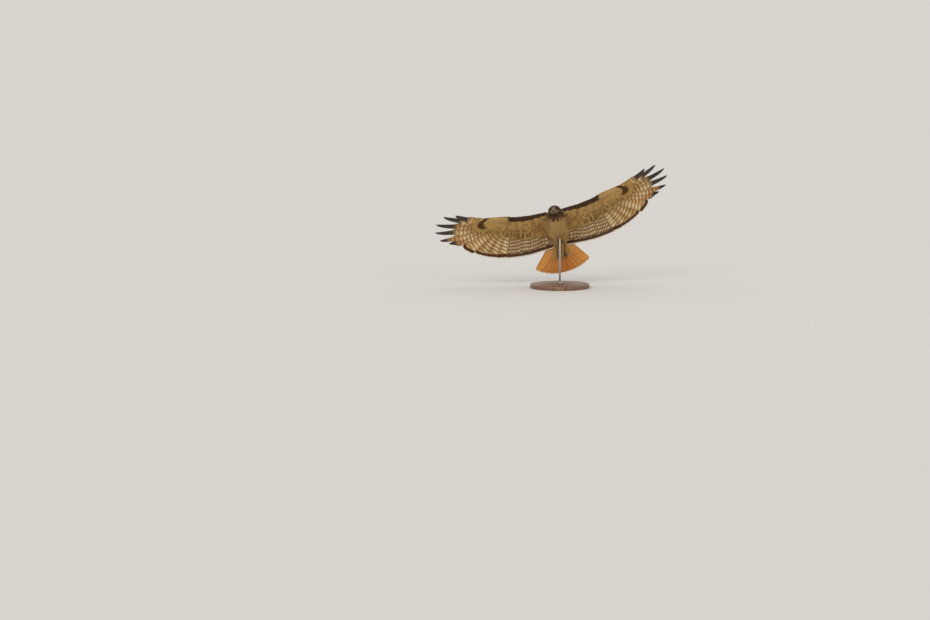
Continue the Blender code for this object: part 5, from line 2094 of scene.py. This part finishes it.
@dataclass
class HeadParts(Assembly):
    """Eyes, lids, cere, bill and the gape's soft corner."""

    bill_base: float = -0.0265
    bill_length: float = 0.0360
    lower_length: float = 0.0236
    bill_half: float = 0.0105
    top_z: float = 0.0085
    lower_depth: float = 0.0066
    hook_drop: float = 0.0085
    gape_z: float = -0.0070
    hook_from: float = 0.42
    lid_radius: float = 0.0062
    lid_half: float = 0.0010

    def eye(self, side: Side) -> None:
        """Builds one eyeball with its bulging cornea.

        Args:
            side: Which eye.
        """
        rows, columns = 44, 40
        polar = math.pi * np.linspace(0, 1, rows) ** 1.2
        polar[0], polar[-1] = 0.01, math.pi - 0.01
        polar = polar[:, None]
        angle = math.tau * np.arange(columns) / columns
        radius = (EYE_RADIUS - 0.0002) * (1 + 0.035 * step(0.95, 0.1, polar))
        wide = radius * np.sin(polar)
        ring = stacked(wide * np.cos(angle), -(radius * np.cos(polar)), wide * np.sin(angle))
        lie = stacked(polar / 0.95, angle[None] + 0 * polar, 0.0)[None]
        made = Bodies(moved(HEAD @ eye_place(side), ring)[None], {}, {"lie": lie})
        name = f"eye_{side.label}"
        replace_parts(made.make(f"{name}_ball", self.paints.eye, "eye", 70), name)

    def lids(self, side: Side) -> None:
        """Builds the bare rim of upper and lower lid round one eye.

        Args:
            side: Which eye.
        """
        lid = primitive(
            bpy.ops.mesh.primitive_torus_add, major_segments=48, minor_segments=12,
            major_radius=self.lid_radius, minor_radius=self.lid_half,
        )
        ring = points_of(lid) @ np.array(Matrix.Rotation(math.pi / 2, 3, "X"))
        upper = step(0.0, 0.006, ring[:, 2])
        corner = step(0.0045, 0.0075, np.abs(ring[:, 0]))
        ring[:, 2] *= 1 - 0.10 * upper - 0.12 * corner
        ring[:, 0] *= 1 + 0.07 * corner
        ring[:, 1] -= 0.0054 + 0.0005 * upper - 0.0004 * corner
        set_points(lid, moved(ATTITUDE @ HEAD @ eye_place(side), ring))
        lid.data.attributes.new("tint", "FLOAT_COLOR", "POINT")
        apply_modifier(lid, "SUBSURF", levels=1, render_levels=1)
        dress(lid, f"lids_{side.label}", self.paints.lid, 60)

    def half_bill(self, upper: bool, swell: float, shares: Array, columns: int = 28) -> Array:
        """Rings of the upper or lower half of the bill.

        Args:
            upper: Whether it is the upper half.
            swell: How far the surface is pushed out.
            shares: Shares of the way from the face to the tip.
            columns: Points of each ring.

        Returns:
            The rings in the head's frame.
        """
        rings = []
        for share in shares:
            if upper:
                bend = max(0.0, (share - self.hook_from) / (1 - self.hook_from))
                y = self.bill_base - self.bill_length * (share - 0.12 * bend**2)
                drop = max(0.0, (share - 0.72) / 0.28) ** 1.5
                tooth = 0.0007 * math.exp(-(((share - 0.60) / 0.09) ** 2))
                bottom = self.gape_z + 0.00015 - self.hook_drop * drop - tooth
                fall = self.top_z - self.gape_z + self.hook_drop
                top = max(self.top_z - fall * bend**2.1, bottom + 0.0007)
                half = self.bill_half * (1 - share**1.5) + 0.0005
            else:
                y = self.bill_base - self.lower_length * share
                top = self.gape_z + 0.0008
                bottom = self.gape_z - self.lower_depth * (1 - 0.86 * share**1.5)
                half = 0.86 * self.bill_half * (1 - 0.86 * share**1.8)
            angle = math.tau * (np.arange(columns) + 0.5) / columns
            flat = np.where(np.sin(angle) * (1 if upper else -1) < 0, 0.40, 0.92)
            across = np.sign(np.cos(angle)) * np.abs(np.cos(angle)) ** (0.5 + 0.5 * flat)
            rise = np.sign(np.sin(angle)) * np.abs(np.sin(angle)) ** flat
            tall = 0.5 * (top - bottom)
            x = (half + swell) * across
            z = 0.5 * (top + bottom) + (tall + swell) * rise
            rings.append(stacked(x, np.full(columns, y), z))
        return np.array(rings)

    def bill(self) -> None:
        """Builds both halves of the bill."""
        shares = 1 - (1 - np.linspace(0, 1, 40)) ** 1.35
        for upper, name in ((True, "bill_upper"), (False, "bill_lower")):
            rings = self.half_bill(upper, 0.0, np.minimum(shares, 0.995))
            tint = grey(step(0.20, 0.75, shares)[:, None])
            body = Bodies(moved(HEAD, rings)[None], {"tint": tint})
            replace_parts(body.make(f"{name}_horn", self.paints.bill, "bill_horn", 60), name)

    def cere(self) -> None:
        """Builds the cere, which swells over the bill's root and carries the nostrils."""
        shares = np.linspace(0.06, 0.40, 48)
        rings = self.half_bill(True, 0.0009, shares, 80)
        for k, swell in ((-1, -0.0004), (-2, 0.0004), (-3, 0.0007)):
            rings[k] = self.half_bill(True, swell, shares[k : k + 1 or None], 80)[0]
        dark = np.zeros(rings.shape[:2])
        for side in Side:
            nostril = np.array([side.value * 0.0098, self.bill_base - self.bill_length * 0.26, 0.0020])
            away = np.linalg.norm((rings - nostril) / (0.0040, 0.0019, 0.0012), axis=-1)
            rings[..., 0] -= side.value * 0.0008 * step(1.0, 0.4, away)
            dark = np.maximum(dark, step(1.0, 0.6, away))
        Bodies(moved(HEAD, rings)[None], {"tint": grey(dark)}).make("cere", self.paints.cere, "foot_skin", 60)

    def gape(self) -> None:
        """Builds the soft folds at the corners of the mouth."""
        t = np.linspace(0, 1, 24)
        line = stacked(0.0096 + 0.0096 * t**0.8, -0.0390 + 0.0205 * t, -0.0072 - 0.0022 * t**2)
        paths = np.array([line * (side.value, 1, 1) for side in Side])
        half = np.repeat([0.0014 * np.sqrt(np.sin(math.pi * (0.06 + 0.90 * t)))], 2, 0)
        lips, _ = swept(paths, half, 10, (0, 0, 1), 0.8)
        lips = Bodies(moved(HEAD, lips), {"tint": grey(np.zeros(1))})
        lips.make("gape_lips", self.paints.cere, "foot_skin", 60)

    def build(self) -> None:
        """Builds every part of the face."""
        self.bill()
        self.cere()
        self.gape()
        for side in Side:
            self.eye(side)
            self.lids(side)


@dataclass
class Feet(Assembly):
    """Folded feet with scutes, toe pads and talons."""

    # Each toe: splay in degrees, start before the tarsus end, length, first and last angle down from the
    # tarsus line, talon length, and the angle at the talon's tip
    toes: dict = field(
        default_factory=lambda: {
            "inner": (-17.0, 0.0, 0.028, 4.0, 62.0, 0.020, 120.0),
            "middle": (0.0, 0.0, 0.039, 0.0, 58.0, 0.019, 115.0),
            "outer": (17.0, 0.0, 0.029, 4.0, 62.0, 0.016, 120.0),
            "hind": (-6.0, 0.004, 0.018, 98.0, 52.0, 0.022, 0.0),
        }
    )

    @staticmethod
    def curled(
        start: Array, along: Array, down: Array, length: float, first: float, last: float,
        steps: int, power: float,
    ) -> Array:
        """Points of a curl that starts at one angle below a direction and ends at another.

        Args:
            start: The first point.
            along: The direction.
            down: What lies below the direction.
            length: The curl's length.
            first: The first angle in degrees.
            last: The last one.
            steps: Steps along it.
            power: Above 1, the bend comes late.

        Returns:
            The points.
        """
        share = (np.arange(steps) + 0.5) / steps
        angle = np.radians(first + (last - first) * share**power)
        moves = along * np.cos(angle)[:, None] + down * np.sin(angle)[:, None]
        return np.concatenate([[start], start + np.cumsum(moves * (length / steps), axis=0)])

    def lines(self, side: Side) -> tuple[Array, Array, dict, Array]:
        """Heel, tarsus end, the toes' and talons' centre lines, and the foot's lower direction.

        Args:
            side: Which foot.

        Returns:
            Two points, a dict of the two lines of each toe, and a direction.
        """
        ankle, end = (on_side(p, side) for p in (ANKLE, TARSUS_END))
        along = unit(end - ankle)
        across = unit(np.cross(along, (0, 0, -1)))
        down = unit(np.cross(across, along))
        found = {}
        for name, (splay, behind, length, first, last, talon, talon_last) in self.toes.items():
            angle = math.radians(splay * side.value)
            heading = along * math.cos(angle) + across * math.sin(angle)
            toe = self.curled(end - along * behind, heading, down, length, first, last, 6, 1.5)
            base = toe[-1] + unit(toe[-1] - toe[-2]) * 0.0003
            claw = self.curled(base, heading, down, talon, last, talon_last, 5, 1.0)
            found[name] = (smooth_curve(toe, 6), smooth_curve(claw, 4))
        return ankle - along * 0.004, end + along * 0.004, found, down

    def build(self, side: Side) -> None:
        """Builds one foot and its talons.

        Args:
            side: Which foot.
        """
        heel, end, lines, down = self.lines(side)
        share = np.linspace(0, 1, 37)
        tarsus = heel + (end - heel) * share[:, None]
        half = TARSUS_HALF * np.interp(share, (0, 0.12, 0.5, 0.9, 1.0), (1.10, 1.22, 0.98, 1.12, 1.0))
        toes = [along_curve(line, share * length_run(line)[-1]) for line, _ in lines.values()]
        size = np.interp(
            share, (0, 0.17, 0.33, 0.5, 0.67, 0.83, 1.0), (1.0, 1.05, 0.88, 1.0, 0.85, 0.95, 0.80)
        )
        toe_half = TOE_HALF * 0.97 * size * (1 - 0.25 * step(0.96, 1.0, share))
        paths = np.array([tarsus, *toes])
        widths = np.array([half * 0.98, *[toe_half] * len(toes)])
        rings, out = swept(paths, widths, 16, tuple(-down))
        # Scutes overlap along the top, about 2 mm apart, and pads swell below
        run = np.array([length_run(path) for path in paths])[..., None]
        top = np.clip(out @ -down, 0, 1)
        saw = 1 - (run / 0.0022) % 1.0
        pads = 0.5 + 0.5 * np.sin(run / 0.0085 * math.tau)
        swell = 0.10 * top * saw + 0.12 * np.clip(out @ down, 0, 1) * pads - 0.05
        rings = rings + out * (swell * widths[..., None])[..., None]
        name = f"foot_{side.label}"
        foot = Bodies(rings, {"tint": grey(0.6 * (1 - saw) ** 4 * top)})
        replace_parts(foot.make(f"{name}_scutes", self.paints.foot, "foot_skin", 50), name)
        share = np.linspace(0, 1, 24)
        taper = np.interp(share, (0, 0.2, 0.4, 0.6, 0.8, 1), (0.66, 0.58, 0.46, 0.33, 0.20, 0.05))
        half = TOE_HALF * 0.98 * taper
        for toe, (_, line) in lines.items():
            path = along_curve(line, share * length_run(line)[-1])[None]
            rings, _ = swept(path, half[None], 14, tuple(-down), 1.0)
            node = f"talon_{side.label}_{toe}"
            body = Bodies(rings, {"tint": grey(step(0.0, 0.5, share)[:, None])})
            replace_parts(body.make(f"{node}_claw", self.paints.talon, "talon_horn", 60), node)


@dataclass
class Stand(Assembly):
    """A turned walnut base with a brushed steel rod and collar."""

    radius: float = 0.150
    thick: float = 0.020
    edge: float = 0.003
    rod: float = 0.005
    collar: float = 0.014
    collar_height: float = 0.012
    # The insets of the top, from the rim inwards, and their depths: a wide rim, then one narrow groove
    insets: tuple = ((0.0070, 0.0), (0.0016, 0.0), (0.0012, -0.0012), (0.0012, 0.0012))

    @staticmethod
    def cylinder(sides: int, radius: float, low: float, high: float) -> Piece:
        """Adds an upright cylinder between two heights.

        Args:
            sides: Faces round it.
            radius: Its radius.
            low: Its lower end.
            high: Its upper end.

        Returns:
            The cylinder.
        """
        made = primitive(
            bpy.ops.mesh.primitive_cylinder_add, vertices=sides, radius=radius, depth=high - low,
            location=(0, 0, 0.5 * (high + low)),
        )
        bpy.ops.object.transform_apply(location=True, rotation=True, scale=True)
        return made

    def build(self) -> None:
        """Builds base, rod and collar in place of the stand's solids."""
        select, mode = bpy.ops.mesh.select_all, bpy.ops.object.mode_set
        base = self.cylinder(128, self.radius, 0.0, self.thick)
        mode(mode="EDIT")
        select(action="SELECT")
        bpy.ops.mesh.bevel(offset=self.edge, segments=4, affect="EDGES")
        select(action="DESELECT")
        mode(mode="OBJECT")
        for face in base.data.polygons:
            face.select = face.normal.z > 0.99 and face.area > 0.01
        mode(mode="EDIT")
        for thickness, depth in self.insets:
            bpy.ops.mesh.inset(thickness=thickness, depth=depth)
        mode(mode="OBJECT")
        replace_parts(dress(base, "stand_base_turned", self.paints.wood, 35), "stand_base")
        low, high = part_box("stand_rod")
        rod = self.cylinder(48, self.rod, low.z, high.z)
        apply_modifier(rod, "BEVEL", width=0.0005, segments=2, limit_method="ANGLE")
        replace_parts(dress(rod, "stand_rod_brushed", self.paints.steel, 35), "stand_rod")
        collar = self.cylinder(72, self.collar, low.z, low.z + self.collar_height)
        apply_modifier(collar, "BEVEL", width=0.0014, segments=4, limit_method="ANGLE")
        dress(collar, "stand_collar", self.paints.steel, 35)


@dataclass
class Studio(Assembly):
    """Pale floor, soft light and the camera at the photograph's angle."""

    image: tuple = (930, 620)
    bird_pixel: tuple = (555.31, 216.25)
    focal_px: float = 2967.0
    distance: float = 15.0
    elevation: float = 5.0
    floor_half: float = 220.0
    sensor: float = 36.0
    # Place, width in degrees and strength of each light
    key: tuple = ((-3.0, -5.5, 4.0), 35.0, 1.5)
    fill: tuple = ((4.4, -4.5, 1.6), 50.0, 0.5)
    air_colour: str = "ECEAE6"
    air_strength: float = 0.80

    def camera(self) -> None:
        """Sets the camera above the bird, turned so that the bird is where the photo has it."""
        data = bpy.data.cameras.new("camera")
        data.sensor_width = self.sensor
        data.lens = self.focal_px * self.sensor / self.image[0]
        data.clip_end = 600.0
        eye = bpy.data.objects.new("camera", data)
        bpy.context.scene.collection.objects.link(eye)
        bpy.context.scene.camera = eye
        angle = math.radians(self.elevation)
        back = Vector((0, -math.cos(angle), math.sin(angle)))
        eye.location = Vector(SHOULDER_PLACE) + back * self.distance
        aim = (-back).to_track_quat("-Z", "Y")
        right, down = ((self.bird_pixel[k] - self.image[k] / 2) / self.focal_px for k in (0, 1))
        shift = Vector((right, -down, -1))
        eye.rotation_mode = "QUATERNION"
        eye.rotation_quaternion = aim @ shift.rotation_difference(Vector((0, 0, -1)))

    def lamp(self, name: str, place: tuple, spread: float, power: float) -> None:
        """Adds one wide soft light that falls the same on bird and floor.

        Args:
            name: Its name.
            place: Where it shines from.
            spread: Its width in degrees.
            power: Its strength.
        """
        data = bpy.data.lights.new(name, "SUN")
        data.angle = math.radians(spread)
        data.energy = power
        lamp = bpy.data.objects.new(name, data)
        bpy.context.scene.collection.objects.link(lamp)
        lamp.location = place
        lamp.rotation_mode = "QUATERNION"
        lamp.rotation_quaternion = (-Vector(place)).to_track_quat("-Z", "Y")

    def build(self) -> None:
        """Builds the studio."""
        floor = primitive(
            bpy.ops.mesh.primitive_grid_add, x_subdivisions=8, y_subdivisions=8, size=2 * self.floor_half
        )
        floor.name = "studio_floor"
        floor.data.materials.append(self.paints.paper)
        world = bpy.data.worlds.new("studio_air")
        bpy.context.scene.world = world
        world.use_nodes = True
        air = world.node_tree.nodes["Background"]
        plug_in(world.node_tree, air, {"Color": self.air_colour, "Strength": self.air_strength})
        self.lamp("key", *self.key)
        self.lamp("fill", *self.fill)
        self.camera()
        bpy.context.scene.view_settings.view_transform = "Standard"


def main() -> None:
    """Builds the whole bird, its stand and the studio; each piece logs its number of faces as it is made."""
    kit = (Paints(), Plumage())
    Studio(*kit).build()
    Stand(*kit).build()
    skin = BodySkin(*kit)
    hide = skin.build()
    Coat(*kit).build(hide)
    skin.finish(hide)
    HeadParts(*kit).build()
    for side in Side:
        form = WingForm(side)
        FlightFeathers(*kit, form).build()
        for face in Face:
            WingCoverts(*kit, form, face).build()
            Bridge(*kit, form, face).build()
        Alula(*kit, form).build()
        Feet(*kit).build(side)
    fan = TailFan(*kit)
    fan.build()
    for face in Face:
        TailCoverts(*kit, fan, face).build()


if __name__ == "__main__":
    main()
